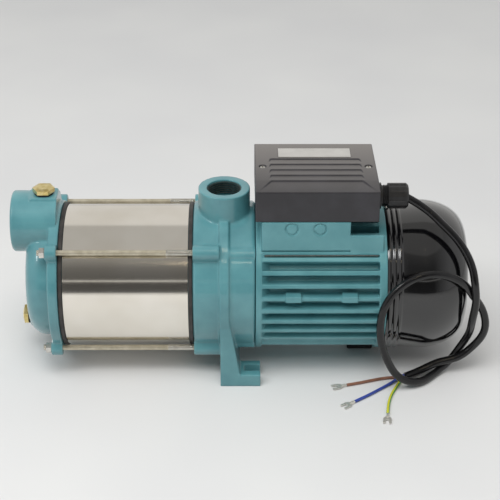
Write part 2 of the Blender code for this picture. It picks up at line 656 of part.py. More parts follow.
def tie_rods(frame):
    """Four rods that clamp cover, shell and casing, with a nut on each at the cover."""
    end = NUT_SEAT - GAP - NUT_HEIGHT - ROD_END
    tip = CASING_LEFT + ROD_BITE
    shank = ROD_RADIUS - ROD_SHANK_CUT
    thread = CASING_LEFT - ROD_THREAD_LENGTH
    outline = [(end, 0.0), (end, shank - ROD_SHANK_CUT), (end + ROD_SHANK_CUT * 2, ROD_RADIUS),
               (COVER_FACE, ROD_RADIUS), (COVER_FACE + ROD_SHANK_CUT, shank), (thread, shank),
               (thread + ROD_SHANK_CUT, ROD_RADIUS), (tip, ROD_RADIUS), (tip, 0.0)]
    for number, spot in enumerate(four_corners(ROD_CIRCLE), 1):
        part(f"tie_rod_{number}", turned(outline, SMALL, spot), "B5AD9C", 0.3, 1.0, frame)
        nut = extruded(hexagon(NUT_WIDTH, spot), NUT_SEAT - GAP - NUT_HEIGHT, NUT_SEAT - GAP,
                       holes=[circle(ROD_HOLE, SMALL, spot)])
        part(f"tie_rod_nut_{number}", nut, "A9A6A0", 0.35, 1.0, frame)


def vane_outline(inner, outer, turn, sweep, steps=2):
    """Curved vane seen along the shaft: a strip that turns by its sweep from hub to rim."""
    sides = ([], [])
    for i in range(steps + 1):
        radius = inner + (outer - inner) * i / steps
        angle = turn + sweep * i / steps
        half = math.degrees(VANE_THICKNESS / 2 / radius)
        sides[0].append(on_circle(radius, angle - half))
        sides[1].append(on_circle(radius, angle + half))
    return sides[0] + sides[1][::-1]


def impellers(rotor):
    """Closed radial impellers, one for each stage, stacked hub to hub on the shaft."""
    shroud = STAGE_LEFT + IMPELLER_RUN
    back = STAGE_LEFT + IMPELLER_BACK
    neck = STAGE_LEFT - SHEET
    bore = SHAFT_RADIUS + GAP
    hub_end = HUB_STACK_LEFT + STAGE_PITCH - GAP
    wheel = [(HUB_STACK_LEFT, bore), (HUB_STACK_LEFT, IMPELLER_HUB_RADIUS),
             (back - SHEET, IMPELLER_HUB_RADIUS), (back - SHEET, IMPELLER_RADIUS), (back, IMPELLER_RADIUS),
             (back, IMPELLER_HUB_RADIUS), (hub_end, IMPELLER_HUB_RADIUS), (hub_end, bore)]
    neck_bore = IMPELLER_NECK_RADIUS - IMPELLER_NECK_WALL
    cover = [(neck, neck_bore), (neck, IMPELLER_NECK_RADIUS), (shroud, IMPELLER_NECK_RADIUS),
             (shroud, IMPELLER_RADIUS), (shroud + SHEET, IMPELLER_RADIUS), (shroud + SHEET, neck_bore)]
    vanes = [extruded(vane_outline(IMPELLER_NECK_RADIUS, IMPELLER_RADIUS - GAP, turn, VANE_SWEEP),
                      shroud + SHEET / 2, back - SHEET / 2)
             for turn in range(0, 360, 360 // IMPELLER_VANES)]
    shape = fused(turned(wheel, MEDIUM), [turned(cover, MEDIUM), together(vanes)])
    row_of(part("impeller", shape, "C9C4B4", 0.35, 1.0, rotor), STAGES, STAGE_PITCH)


def diffusers(frame):
    """Stage cups that turn the water back to the next impeller's eye."""
    right = STAGE_LEFT + STAGE_PITCH - GAP
    eye = IMPELLER_NECK_RADIUS + RUNNING_GAP
    cup = [(STAGE_LEFT, SPIGOT_RADIUS), (right, SPIGOT_RADIUS), (right, eye), (right - SHEET, eye),
           (right - SHEET, SPIGOT_RADIUS - SHEET), (STAGE_LEFT, SPIGOT_RADIUS - SHEET)]
    vanes = [extruded(vane_outline(eye + SHEET, SPIGOT_RADIUS - SHEET / 2, turn, GUIDE_SWEEP),
                      STAGE_LEFT + IMPELLER_BACK + GUIDE_RUN, right - SHEET / 2)
             for turn in [360 / GUIDE_VANES * i for i in range(GUIDE_VANES)]]
    shape = fused(turned(cup, MEDIUM), [together(vanes)])
    row_of(part("diffuser", shape, "DAD6C6", 0.6, 0.0, frame), STAGES, STAGE_PITCH)


def discharge_casing(frame):
    """Cast casing between pump and motor: ringed barrel, upright port, leg and slotted feet."""
    spigot_end = SHELL_RIGHT - SPIGOT_DEPTH
    rib = CASING_RIB_WIDTH / 2
    barrel = [(spigot_end, 0.0), (spigot_end, SPIGOT_RADIUS), (CASING_LEFT, SPIGOT_RADIUS),
              (CASING_LEFT, CASING_RADIUS - CASING_CHAMFER), (CASING_LEFT + CASING_CHAMFER, CASING_RADIUS),
              (-rib - GAP, CASING_RADIUS), (-rib, CASING_RADIUS + CASING_RIB_HEIGHT),
              (rib, CASING_RADIUS + CASING_RIB_HEIGHT), (rib + GAP, CASING_RADIUS),
              (CASING_RIGHT - CASING_CHAMFER, CASING_RADIUS),
              (CASING_RIGHT, CASING_RADIUS - CASING_CHAMFER),
              (CASING_RIGHT, 0.0)]
    core = [(spigot_end - GAP, 0.0), (spigot_end - GAP, CHAMBER_RADIUS), (CHAMBER_END, CHAMBER_RADIUS),
            (CHAMBER_END, SEAL_BORE_RADIUS), (CHAMBER_END + SEAL_SEAT_DEPTH, SEAL_BORE_RADIUS),
            (CHAMBER_END + SEAL_SEAT_DEPTH, SHAFT_HOLE), (FRONT_BEARING_LEFT - GAP, SHAFT_HOLE),
            (FRONT_BEARING_LEFT - GAP, FRONT_BEARING_RADIUS + GAP),
            (CASING_RIGHT + GAP, FRONT_BEARING_RADIUS + GAP), (CASING_RIGHT + GAP, 0.0)]
    face = DISCHARGE_HEIGHT - CHAMBER_RADIUS
    port = [(0.0, 0.0), (0.0, DISCHARGE_BOSS_RADIUS), (face - PORT_CHAMFER, DISCHARGE_BOSS_RADIUS),
            (face, DISCHARGE_BOSS_RADIUS - PORT_CHAMFER), (face, 0.0)]
    upright = Matrix.Translation((0.0, 0.0, CHAMBER_RADIUS)) @ Matrix.Rotation(-math.pi / 2, 4, "Y")
    half = FOOT_SPREAD / 2
    leg = extruded([(LEG_START, LEG_TOP), (LEG_START + LEG_TOP_WIDTH, LEG_TOP),
                    (LEG_START + LEG_FOOT_WIDTH, FOOT_TOP - GAP),
                    (LEG_START + LEG_FOOT_WIDTH, FLOOR + ARCH_HEIGHT),
                    (LEG_START, FLOOR + ARCH_HEIGHT)], -half, half, "Y")
    feet = []
    slots = []
    for side in (-1, 1):
        outer, inner = sorted((side * half, side * (half - FOOT_DEPTH)))
        feet.append(block((LEG_START, outer, FLOOR), (LEG_START + FOOT_LENGTH, inner, FOOT_TOP)))
        middle = side * (half - FOOT_SLOT_INSET)
        right = LEG_START + FOOT_LENGTH
        slots.append(block((right - FOOT_SLOT_LENGTH, middle - FOOT_SLOT_WIDTH / 2, FLOOR - GAP),
                           (right + GAP, middle + FOOT_SLOT_WIDTH / 2, FOOT_TOP + GAP)))
    rods = four_corners(ROD_CIRCLE)
    bolts = four_corners(BOLT_CIRCLE)
    rod_lugs = lugs(ROD_LUG_RADIUS, rods, CASING_RADIUS, CASING_LEFT, -rib + GAP)
    bolt_lugs = [rod(BOLT_LUG_RADIUS, rib - GAP, CASING_RIGHT, spot, segments=MEDIUM) for spot in bolts]
    rod_holes = [rod(ROD_HOLE, CASING_LEFT - GAP, CASING_LEFT + ROD_BITE + THREAD_END_ROOM, spot)
                 for spot in rods]
    bolt_holes = [rod(BOLT_HOLE, CASING_RIGHT - BOLT_BITE - THREAD_END_ROOM, CASING_RIGHT + GAP, spot)
                  for spot in bolts]
    bore = rod(PORT_BORE_RADIUS, CHAMBER_RADIUS - PORT_BORE_RADIUS / 2, DISCHARGE_HEIGHT + GAP, axis="Z",
               segments=ROUND)
    shape = fused(turned(barrel),
                  [placed(turned(port, ROUND), upright), leg, *feet, *rod_lugs, *bolt_lugs],
                  [turned(core, MEDIUM), bore, *slots, *rod_holes, *bolt_holes])
    part("discharge_casing", shape, "5A8F94", 0.35, 0.3, frame)


def shaft(rotor):
    """Stepped shaft that carries impellers, seal, rotor core, bearings and fan."""
    stud_end = HUB_STACK_LEFT - STUD_LENGTH
    tail = FAN_LEFT + FAN_WIDTH
    steps = [(stud_end, STUD_RADIUS), (HUB_STACK_LEFT + GAP, SHAFT_RADIUS),
             (FRONT_BEARING_LEFT - GAP, FRONT_JOURNAL_RADIUS),
             (CASING_RIGHT + 2 * GAP, CORE_JOURNAL_RADIUS), (REAR_BEARING_LEFT - GAP, REAR_JOURNAL_RADIUS),
             (REAR_BEARING_RIGHT + GAP, FAN_JOURNAL_RADIUS), (tail, 0.0)]
    outline = [(stud_end, 0.0)]
    for (start, radius), (end, _) in zip(steps, steps[1:]):
        outline += [(start, radius), (end, radius)]
    outline.append((tail, 0.0))
    part("shaft", turned(outline, MEDIUM), "B8B8B6", 0.25, 1.0, rotor)


def seals_and_bearings(frame, rotor):
    """Shaft nut, mechanical seal in two halves and the two sealed ball bearings."""
    nut_right = HUB_STACK_LEFT - GAP
    nut = extruded(hexagon(SHAFT_NUT_WIDTH), nut_right - SHAFT_NUT_HEIGHT, nut_right,
                   holes=[circle(STUD_RADIUS + GAP)])
    part("impeller_nut", nut, "B8B8B6", 0.3, 1.0, rotor)
    bore = SHAFT_RADIUS + GAP
    head = [(HUB_STACK_RIGHT, bore), (HUB_STACK_RIGHT, SEAL_HEAD_RADIUS - SEAL_HEAD_STEP),
            (CHAMBER_END - SEAL_SEAT_DEPTH, SEAL_HEAD_RADIUS), (CHAMBER_END - GAP, SEAL_HEAD_RADIUS),
            (CHAMBER_END - GAP, bore)]
    part("seal_head", turned(head, MEDIUM), "55524E", 0.5, 0.2, rotor)
    seat = tube(SEAL_BORE_RADIUS - GAP, SHAFT_HOLE, CHAMBER_END, CHAMBER_END + SEAL_SEAT_DEPTH - GAP,
                segments=MEDIUM)
    part("seal_seat", seat, "E4DFD4", 0.3, 0.0, frame)
    for name, left, right, outer, inner in (
            ("front_bearing", FRONT_BEARING_LEFT, CASING_RIGHT - GAP,
             FRONT_BEARING_RADIUS, FRONT_JOURNAL_RADIUS),
            ("rear_bearing", REAR_BEARING_LEFT, REAR_BEARING_RIGHT,
             REAR_BEARING_RADIUS, REAR_JOURNAL_RADIUS)):
        race = (outer - inner) / 4
        outline = [(left, inner + GAP), (left, inner + race), (left + BEARING_GROOVE, inner + race),
                   (left + BEARING_GROOVE, outer - race), (left, outer - race), (left, outer),
                   (right, outer), (right, outer - race), (right - BEARING_GROOVE, outer - race),
                   (right - BEARING_GROOVE, inner + race), (right, inner + race), (right, inner + GAP)]
        part(name, turned(outline, MEDIUM), "9A9A98", 0.3, 1.0, frame)


def frame_outline():
    """Motor frame's cross-section: fins on both sides and on top, plain belly below."""
    fins = sorted([*SIDE_FINS, *TOP_FINS, *(180 - angle for angle in SIDE_FINS)])
    points = []
    for angle in fins:
        for radius, half in ((GROOVE_RADIUS, -FIN_ROOT / 2), (FIN_RADIUS, -FIN_TIP / 2),
                             (FIN_RADIUS, FIN_TIP / 2), (GROOVE_RADIUS, FIN_ROOT / 2)):
            points.append(on_circle(radius, angle + math.degrees(half / radius)))
    belly = range(fins[-1] + FIN_PITCH, fins[0] + 360, FIN_PITCH)
    return points + [on_circle(FRAME_BORE + BELLY_WALL, angle) for angle in belly]


def motor_frame(frame):
    """Die-cast frame: radial fins, bolt rails, flanges, cast terminal base and rest boss."""
    ramp_end = FRAME_LEFT + FRONT_FLANGE + FIN_RAMP
    front = [(FRAME_LEFT, FRAME_BORE - GAP), (FRAME_LEFT, MOTOR_FLANGE_RADIUS),
             (FRAME_LEFT + FRONT_FLANGE, MOTOR_FLANGE_RADIUS), (ramp_end, GROOVE_RADIUS - FRAME_WALL / 2),
             (ramp_end, FRAME_BORE - GAP)]
    rear = tube(MOTOR_FLANGE_RADIUS, FRAME_BORE - GAP, FRAME_RIGHT - REAR_FLANGE, FRAME_RIGHT,
                segments=ROUND)
    bolts = four_corners(BOLT_CIRCLE)
    rails = [rod(RAIL_RADIUS, FRAME_LEFT, FRAME_RIGHT, spot) for spot in bolts]
    base_left = FRAME_LEFT + BASE_START
    base_right = base_left + BASE_LENGTH
    base = block((base_left, -BASE_HALF_DEPTH, BASE_SINK), (base_right, BASE_HALF_DEPTH, BASE_TOP))
    knockouts = [rod(KNOCKOUT_RADIUS, -BASE_HALF_DEPTH - GAP, KNOCKOUT_DEPTH - BASE_HALF_DEPTH,
                     (FRAME_LEFT + place, BASE_TOP - KNOCKOUT_DROP), "Y", MEDIUM)
                 for place in KNOCKOUT_PLACES]
    skirts = []
    pads = []
    for side in (-1, 1):
        low, high = sorted((side * BASE_HALF_DEPTH, side * (BASE_HALF_DEPTH - SKIRT_WALL)))
        skirts.append(block((base_right - BASE_WALL, low, BASE_SINK),
                            (FRAME_RIGHT - REAR_FLANGE / 2, high, SKIRT_TOP)))
        low, high = sorted((side * (FIN_RADIUS + FIN_PAD_STEP), side * GROOVE_RADIUS))
        for start in FIN_PAD_STARTS:
            left = FRAME_LEFT + start + FIN_PAD_CORNER
            right = FRAME_LEFT + start + FIN_PAD_LENGTH - FIN_PAD_CORNER
            rise = FIN_PAD_HEIGHT / 2 - FIN_PAD_CORNER
            outline = []
            for turn, x, z in ((0, right, rise), (90, left, rise), (180, left, -rise), (270, right, -rise)):
                outline += arc((x, FIN_PAD_MIDDLE + z), FIN_PAD_CORNER, turn, turn + 90, 2)
            pads.append(extruded(outline, low, high, "Y"))
    rest_left = FRAME_LEFT + REST_START
    boss = block((rest_left, -REST_DEPTH / 2 - REST_TAPER, -REST_BOSS_DROP),
                 (rest_left + REST_LENGTH, REST_DEPTH / 2 + REST_TAPER, -FRAME_BORE - FRAME_WALL / 2))
    pocket = block((base_left + BASE_WALL, BASE_WALL - BASE_HALF_DEPTH, BASE_FLOOR),
                   (base_right - BASE_WALL, BASE_HALF_DEPTH - BASE_WALL, BASE_TOP + GAP))
    wire_hole = rod(WIRE_HOLE_RADIUS, FRAME_BORE - FRAME_WALL, BASE_FLOOR + GAP,
                    (base_left + WIRE_HOLE_PLACE, 0.0), "Z")
    bore = rod(FRAME_BORE, FRAME_LEFT - GAP, FRAME_RIGHT + GAP, segments=ROUND)
    bolt_holes = [rod(BOLT_HOLE, FRAME_LEFT - GAP, FRAME_RIGHT + GAP, spot) for spot in bolts]
    body = extruded(frame_outline(), FRAME_LEFT + GAP, FRAME_RIGHT - GAP)
    shape = fused(body, [turned(front), rear, *rails, base, *skirts, *pads, boss],
                  [bore, pocket, wire_hole, *knockouts, *bolt_holes])
    part("motor_frame", shape, "63989C", 0.4, 0.2, frame)


def stator(frame):
    """Laminated core with winding slots, and the copper winding that fills and crosses them."""
    tooth = ROTOR_RADIUS + AIR_GAP
    inside = []
    for i in range(STATOR_SLOTS):
        middle = 360 / STATOR_SLOTS * i
        for radius, side in ((tooth, -1), (tooth + SLOT_DEPTH, -1), (tooth + SLOT_DEPTH, 1), (tooth, 1)):
            inside.append(on_circle(radius, middle + side * math.degrees(SLOT_WIDTH / 2 / radius)))
    core = extruded(circle(FRAME_BORE - GAP, ROUND), CORE_LEFT, CORE_RIGHT, holes=[inside])
    part("stator_core", core, "6E7072", 0.5, 0.8, frame)
    low = tooth + 2 * GAP
    high = tooth + SLOT_DEPTH - GAP
    half = SLOT_WIDTH / 2 - GAP
    bars = [placed(block((CORE_LEFT - 2 * GAP, -half, low), (CORE_RIGHT + 2 * GAP, half, high)),
                   Matrix.Rotation(math.tau / STATOR_SLOTS * i, 4, "X")) for i in range(STATOR_SLOTS)]
    turns = [tube(high, low + GAP, start, start + END_TURN, segments=STATOR_SLOTS)
             for start in (CORE_LEFT - GAP - END_TURN, CORE_RIGHT + GAP)]
    shape = fused(turns[0], [turns[1], together(bars)])
    part("stator_windings", shape, "9C5A34", 0.5, 0.6, frame)


def rotor_core(rotor):
    """Squirrel-cage core with its two cast end rings, pressed on the shaft."""
    bore = CORE_JOURNAL_RADIUS + GAP
    ring = ROTOR_RADIUS - END_RING
    left = CORE_LEFT - END_RING
    right = CORE_RIGHT + END_RING
    outline = [(left, bore + END_RING / 2), (left, ring), (CORE_LEFT, ROTOR_RADIUS),
               (CORE_RIGHT, ROTOR_RADIUS), (right, ring), (right, bore + END_RING / 2), (CORE_RIGHT, bore),
               (CORE_LEFT, bore)]
    part("rotor_core", turned(outline, MEDIUM), "8A8C8E", 0.4, 0.9, rotor)


def rear_shield(frame):
    """End shield: spigot in the frame, rim inside the fan cover and the rear bearing's seat."""
    seat = REAR_BEARING_RADIUS + GAP
    hole = FAN_JOURNAL_RADIUS + RUNNING_GAP
    hub_left = REAR_BEARING_LEFT + GAP
    spigot = FRAME_BORE - GAP
    outline = [(hub_left, seat), (hub_left, seat + SHIELD_HUB_WALL), (SHIELD_LEFT, seat + SHIELD_HUB_WALL),
               (SHIELD_LEFT, spigot - SHIELD_SPIGOT), (SHIELD_LEFT - SHIELD_SPIGOT, spigot - SHIELD_SPIGOT),
               (SHIELD_LEFT - SHIELD_SPIGOT, spigot), (SHIELD_LEFT, spigot), (SHIELD_LEFT, SHIELD_RADIUS),
               (SHIELD_RIGHT, SHIELD_RADIUS), (SHIELD_RIGHT, hole), (REAR_BEARING_RIGHT + GAP, hole),
               (REAR_BEARING_RIGHT + GAP, seat)]
    bolt_holes = [rod(BOLT_HOLE, SHIELD_LEFT - GAP, SHIELD_RIGHT + GAP, spot)
                  for spot in four_corners(BOLT_CIRCLE)]
    middle = (SHIELD_LEFT + SHIELD_THICKNESS / 2, 0.0)
    screw_holes = []
    for side in (-1, 1):
        low, high = sorted((side * (SHIELD_RADIUS - COVER_SCREW_LENGTH), side * (SHIELD_RADIUS + GAP)))
        screw_holes.append(rod(COVER_SCREW_RADIUS + GAP, low, high, middle, "Z"))
    shape = fused(turned(outline), cut=[*bolt_holes, *screw_holes])
    part("rear_shield", shape, "63989C", 0.4, 0.2, frame)


def motor_tie_bolts(frame):
    """Four long bolts that clamp rear shield and motor frame to the casing."""
    head = SHIELD_RIGHT + GAP
    end = head + BOLT_HEAD_HEIGHT
    tip = CASING_RIGHT - BOLT_BITE
    outline = [(tip, 0.0), (tip, BOLT_RADIUS), (head, BOLT_RADIUS), (head, BOLT_HEAD_RADIUS),
               (end, BOLT_HEAD_RADIUS), (end, 0.0)]
    for number, spot in enumerate(four_corners(BOLT_CIRCLE), 1):
        part(f"motor_tie_bolt_{number}", turned(outline, SMALL, spot), "9A9A98", 0.35, 1.0, frame)


def cover_profile(inset):
    """Fan cover's round shoulder from its barrel to its end face, set in by a wall."""
    start = FAN_END - FAN_COVER_SHOULDER
    points = []
    for i in range(CORNER_STEPS + 1):
        angle = math.pi / 2 * i / CORNER_STEPS
        points.append((start + (FAN_COVER_SHOULDER - inset) * math.sin(angle),
                       FAN_COVER_FACE + (FAN_COVER_RADIUS - FAN_COVER_FACE - inset) * math.cos(angle)))
    return points


def fan_cover(frame):
    """Glossy fan cover: beaded rim, round shoulder and a flat face with radial air slots."""
    rim = FAN_COVER_RADIUS - BEAD_HEIGHT
    outside = [(SHIELD_LEFT, rim)]
    for i in range(FAN_COVER_BEADS):
        crest = SHIELD_LEFT + BEAD_PITCH * (i + 0.5)
        outside += [(crest, FAN_COVER_RADIUS), (crest + BEAD_PITCH / 2, rim)]
    outside += [*cover_profile(0.0), (FAN_END, 0.0)]
    inner_rim = rim - FAN_COVER_WALL
    inside = [(SHIELD_LEFT - GAP, 0.0), (SHIELD_LEFT - GAP, inner_rim),
              (FAN_END - FAN_COVER_SHOULDER, inner_rim), *cover_profile(FAN_COVER_WALL)[1:],
              (FAN_END - FAN_COVER_WALL, 0.0)]
    half = GRILLE_SLOT_WIDTH / 2
    slot_low = (FAN_END - 2 * FAN_COVER_WALL, -half, GRILLE_INNER)
    slots = [placed(block(slot_low, (FAN_END + GAP, half, GRILLE_OUTER)),
                    Matrix.Rotation(math.tau * i / GRILLE_SLOTS, 4, "X")) for i in range(GRILLE_SLOTS)]
    middle = (SHIELD_LEFT + SHIELD_THICKNESS / 2, 0.0)
    reach = FAN_COVER_RADIUS + GAP
    screw_hole = rod(COVER_SCREW_RADIUS + GAP, -reach, reach, middle, "Z")
    outside.insert(0, (SHIELD_LEFT, 0.0))
    shape = fused(turned(outside), cut=[turned(inside), together(slots), screw_hole])
    part("fan_cover", shape, "141416", 0.12, 0.0, frame)


def cooling_fan(rotor):
    """Moulded fan with radial blades on a disc, fixed to the shaft's tail."""
    bore = FAN_JOURNAL_RADIUS + GAP
    right = FAN_LEFT + FAN_WIDTH - 2 * GAP
    wheel = [(FAN_LEFT, bore), (FAN_LEFT, FAN_DISC), (FAN_LEFT + SHEET, FAN_DISC),
             (FAN_LEFT + SHEET, FAN_HUB_RADIUS), (right, FAN_HUB_RADIUS), (right, bore)]
    half = SHEET / 2
    blade_low = (FAN_LEFT + half, -half, FAN_HUB_RADIUS - SHEET)
    blades = [placed(block(blade_low, (right - SHEET, half, FAN_RADIUS)),
                     Matrix.Rotation(math.tau * i / FAN_BLADES, 4, "X")) for i in range(FAN_BLADES)]
    shape = fused(turned(wheel, MEDIUM), [together(blades)])
    part("cooling_fan", shape, "2E3134", 0.5, 0.0, rotor)


def motor_rest(frame):
    """Rubber block that holds the motor's rear end off the floor."""
    top = -REST_BOSS_DROP - GAP
    left = FRAME_LEFT + REST_START
    wide = REST_DEPTH / 2 + REST_TAPER
    narrow = REST_DEPTH / 2
    outline = [(-narrow, FLOOR), (narrow, FLOOR), (wide, top), (-wide, top)]
    part("motor_rest", extruded(outline, left, left + REST_LENGTH), "26282A", 0.8, 0.0, frame, SOFT_EDGE)


def terminal_box(frame):
    """Plastic tray and lid on the cast base; the lid has a sloped front and stepped louvres."""
    inner = LID_HALF_DEPTH - LID_WALL
    screw_spots = [(LID_LEFT + LID_SCREW_INSET, 0.0), (LID_RIGHT - LID_SCREW_INSET, 0.0)]
    tray = block((LID_LEFT + LID_WALL + GAP, GAP - inner, LID_RIM),
                 (LID_RIGHT - LID_WALL - GAP, inner - GAP, TRAY_TOP))
    posts = [rod(POST_RADIUS, LID_RIM + GAP, LID_CEILING - GAP, spot, "Z") for spot in screw_spots]
    wire_hole = rod(WIRE_HOLE_RADIUS, LID_RIM - GAP, TRAY_TOP + GAP,
                    (FRAME_LEFT + BASE_START + WIRE_HOLE_PLACE, 0.0), "Z")
    screw_foot = LID_TOP - LID_SCREW_SINK - LID_SCREW_BITE
    thread_holes = [rod(LID_SCREW_RADIUS + GAP, screw_foot - GAP, LID_CEILING, spot, "Z")
                    for spot in screw_spots]
    part("terminal_box_base", fused(tray, posts, [wire_hole, *thread_holes]), "3C3C3F", 0.5, 0.0, frame)

    slope = LID_SLOPE - LID_HALF_DEPTH
    section = [(-LID_HALF_DEPTH, LID_RIM), (LID_HALF_DEPTH, LID_RIM), (LID_HALF_DEPTH, LID_TOP),
               (slope, LID_TOP), (-LID_HALF_DEPTH, LID_FOLD)]
    hollow = block((LID_LEFT + LID_WALL, -inner, LID_RIM - GAP), (LID_RIGHT - LID_WALL, inner, LID_CEILING))
    left = LID_LEFT + LOUVRE_INSET
    right = LID_RIGHT - LOUVRE_INSET
    steps = []
    for i in range(LOUVRES + 1):
        riser = slope + LOUVRE_PITCH * i
        if i:
            nose, nose_height, flare = riser - LOUVRE_PITCH + LOUVRE_DROP, LID_TOP, LOUVRE_FLARE
        else:
            nose, nose_height, flare = -LID_HALF_DEPTH, LID_FOLD, SLOPE_FLARE
        roof = LID_TOP + LOUVRE_DROP
        back = [(x, riser, z) for x in (left, right) for z in (LID_TOP - LOUVRE_DROP, roof)]
        front = [(x, nose, z) for x in (left - flare, right + flare) for z in (nose_height, roof)]
        steps.append(hull(back + front))
    plate_left = LID_MIDDLE - PLATE_LENGTH / 2
    recess = block((plate_left - GAP, PLATE_SETBACK - PLATE_WIDTH / 2 - GAP, LID_TOP - PLATE_RECESS),
                   (plate_left + PLATE_LENGTH + GAP, PLATE_SETBACK + PLATE_WIDTH / 2 + GAP, LID_TOP + GAP))
    sinks = [rod(LID_SCREW_HEAD + GAP, LID_TOP - LID_SCREW_SINK, LID_TOP + GAP, spot, "Z", MEDIUM)
             for spot in screw_spots]
    screw_holes = [rod(LID_SCREW_RADIUS + GAP, LID_CEILING - GAP, LID_TOP, spot, "Z")
                   for spot in screw_spots]
    gland_hole = rod(GLAND_TAIL_RADIUS + GAP, LID_RIGHT - 2 * LID_WALL, LID_RIGHT + GAP, GLAND_AXIS,
                     segments=MEDIUM)
    shape = fused(extruded(section, LID_LEFT, LID_RIGHT),
                  cut=[hollow, *steps, recess, *sinks, *screw_holes, gland_hole])
    part("terminal_box_lid", shape, "4A494C", 0.45, 0.0, frame)

    plate_bottom = LID_TOP - PLATE_RECESS + GAP
    plate = block((plate_left, PLATE_SETBACK - PLATE_WIDTH / 2, plate_bottom),
                  (plate_left + PLATE_LENGTH, PLATE_SETBACK + PLATE_WIDTH / 2,
                   plate_bottom + PLATE_THICKNESS))
    part("rating_plate", plate, "B9B9B6", 0.4, 0.9, frame)


def box_contents(frame):
    """Terminal block with a groove at each terminal, and the motor's run capacitor."""
    low = TRAY_TOP + GAP
    left = LID_LEFT + TERMINAL_BLOCK_START
    front = -TERMINAL_BLOCK_AHEAD - TERMINAL_BLOCK_DEPTH / 2
    back = front + TERMINAL_BLOCK_DEPTH
    high = low + TERMINAL_BLOCK_HEIGHT
    body = block((left, front, low), (left + TERMINALS * TERMINAL_PITCH, back, high))
    grooves = []
    for i in range(TERMINALS):
        start = left + TERMINAL_PITCH * i + (TERMINAL_PITCH - TERMINAL_GROOVE) / 2
        grooves.append(block((start, front - GAP, high - TERMINAL_BLOCK_HEIGHT / 2),
                             (start + TERMINAL_GROOVE, back + GAP, high + GAP)))
    part("terminal_block", fused(body, cut=[together(grooves)]), "D8D2C0", 0.5, 0.0, frame)
    start = LID_LEFT + CAPACITOR_START
    can = rod(CAPACITOR_RADIUS, start, start + CAPACITOR_LENGTH, (CAPACITOR_BEHIND, low + CAPACITOR_RADIUS),
              segments=MEDIUM)
    part("capacitor", can, "D5D5D2", 0.4, 0.0, frame, SOFT_EDGE)


def cable_gland(frame):
    """Threaded gland through the lid's wall: locknut inside, clamping nut and rubber seal outside."""
    wall = LID_RIGHT - LID_WALL
    passage = SHEATH_RADIUS + GAP
    tail = wall - LOCKNUT_THICKNESS - 2 * GAP
    thread_end = GLAND_NUT_LEFT + GLAND_THREAD_BITE
    collar = LID_RIGHT + GAP
    outline = [(tail, passage), (tail, GLAND_TAIL_RADIUS), (collar, GLAND_TAIL_RADIUS),
               (collar, GLAND_RADIUS), (GLAND_THREAD_LEFT, GLAND_RADIUS),
               (GLAND_THREAD_LEFT, GLAND_THREAD_RADIUS),
               (thread_end, GLAND_THREAD_RADIUS), (thread_end, passage)]
    part("gland_body", turned(outline, MEDIUM, GLAND_AXIS), "1B1B1D", 0.4, 0.0, frame)
    locknut = extruded(hexagon(LOCKNUT_WIDTH, GLAND_AXIS), wall - GAP - LOCKNUT_THICKNESS, wall - GAP,
                       holes=[circle(GLAND_TAIL_RADIUS + GAP, MEDIUM, GLAND_AXIS)])
    part("gland_locknut", locknut, "1B1B1D", 0.4, 0.0, frame)
    inner = GLAND_THREAD_RADIUS + GAP
    nut = [(GLAND_NUT_LEFT, inner), (GLAND_NUT_LEFT, GLAND_RADIUS - GAP),
           (GLAND_NUT_RIGHT - GLAND_NUT_CHAMFER, GLAND_RADIUS - GAP),
           (GLAND_NUT_RIGHT, GLAND_RADIUS - GLAND_NUT_CHAMFER), (GLAND_NUT_RIGHT, GLAND_MOUTH_RADIUS),
           (thread_end + GAP, GLAND_MOUTH_RADIUS), (thread_end + GAP, inner)]
    half = GLAND_FLUTE_WIDTH / 2
    flute_end = GLAND_NUT_RIGHT - GLAND_NUT_CHAMFER - GLAND_FLUTE_INSET / 2
    flutes = [placed(block((GLAND_NUT_LEFT + GLAND_FLUTE_INSET, -half, GLAND_RADIUS - GLAND_NUT_CHAMFER),
                           (flute_end, half, GLAND_RADIUS)),
                     Matrix.Translation((0.0, *GLAND_AXIS))
                     @ Matrix.Rotation(math.tau * i / GLAND_NUT_FLUTES, 4, "X"))
              for i in range(GLAND_NUT_FLUTES)]
    part("gland_nut", fused(turned(nut, MEDIUM, GLAND_AXIS), [together(flutes)]), "1B1B1D", 0.4, 0.0, frame)
    rim = GLAND_MOUTH_RADIUS - GAP
    seal = [(thread_end + 2 * GAP, 0.0), (thread_end + 2 * GAP, rim), (GLAND_SEAL_RIGHT, rim),
            (GLAND_SEAL_RIGHT, 0.0)]
    part("gland_seal", turned(seal, MEDIUM, GLAND_AXIS), "0F0F10", 0.8, 0.0, frame)


def smooth_route(route, spacing):
    """Evenly spaced points on the natural cubic spline through a route's points, in metres."""
    knots = np.array(route) * MM
    lengths = np.linalg.norm(np.diff(knots, axis=0), axis=1)
    at = np.concatenate([[0.0], np.cumsum(lengths)])
    size = len(knots)
    system = np.eye(size)
    right = np.zeros((size, 3))
    slopes = np.diff(knots, axis=0) / lengths[:, None]
    for i in range(1, size - 1):
        system[i, i - 1:i + 2] = (lengths[i - 1], 2 * (lengths[i - 1] + lengths[i]), lengths[i])
        right[i] = 6 * (slopes[i] - slopes[i - 1])
    bend = np.linalg.solve(system, right)
    points = []
    for place in np.linspace(0.0, at[-1], round(at[-1] / spacing) + 1):
        i = min(int(np.searchsorted(at, place, side="right")) - 1, size - 2)
        before = at[i + 1] - place
        after = place - at[i]
        span = lengths[i]
        points.append((bend[i] * before ** 3 + bend[i + 1] * after ** 3) / (6 * span)
                      + (knots[i] / span - bend[i] * span / 6) * before
                      + (knots[i + 1] / span - bend[i + 1] * span / 6) * after)
    return points


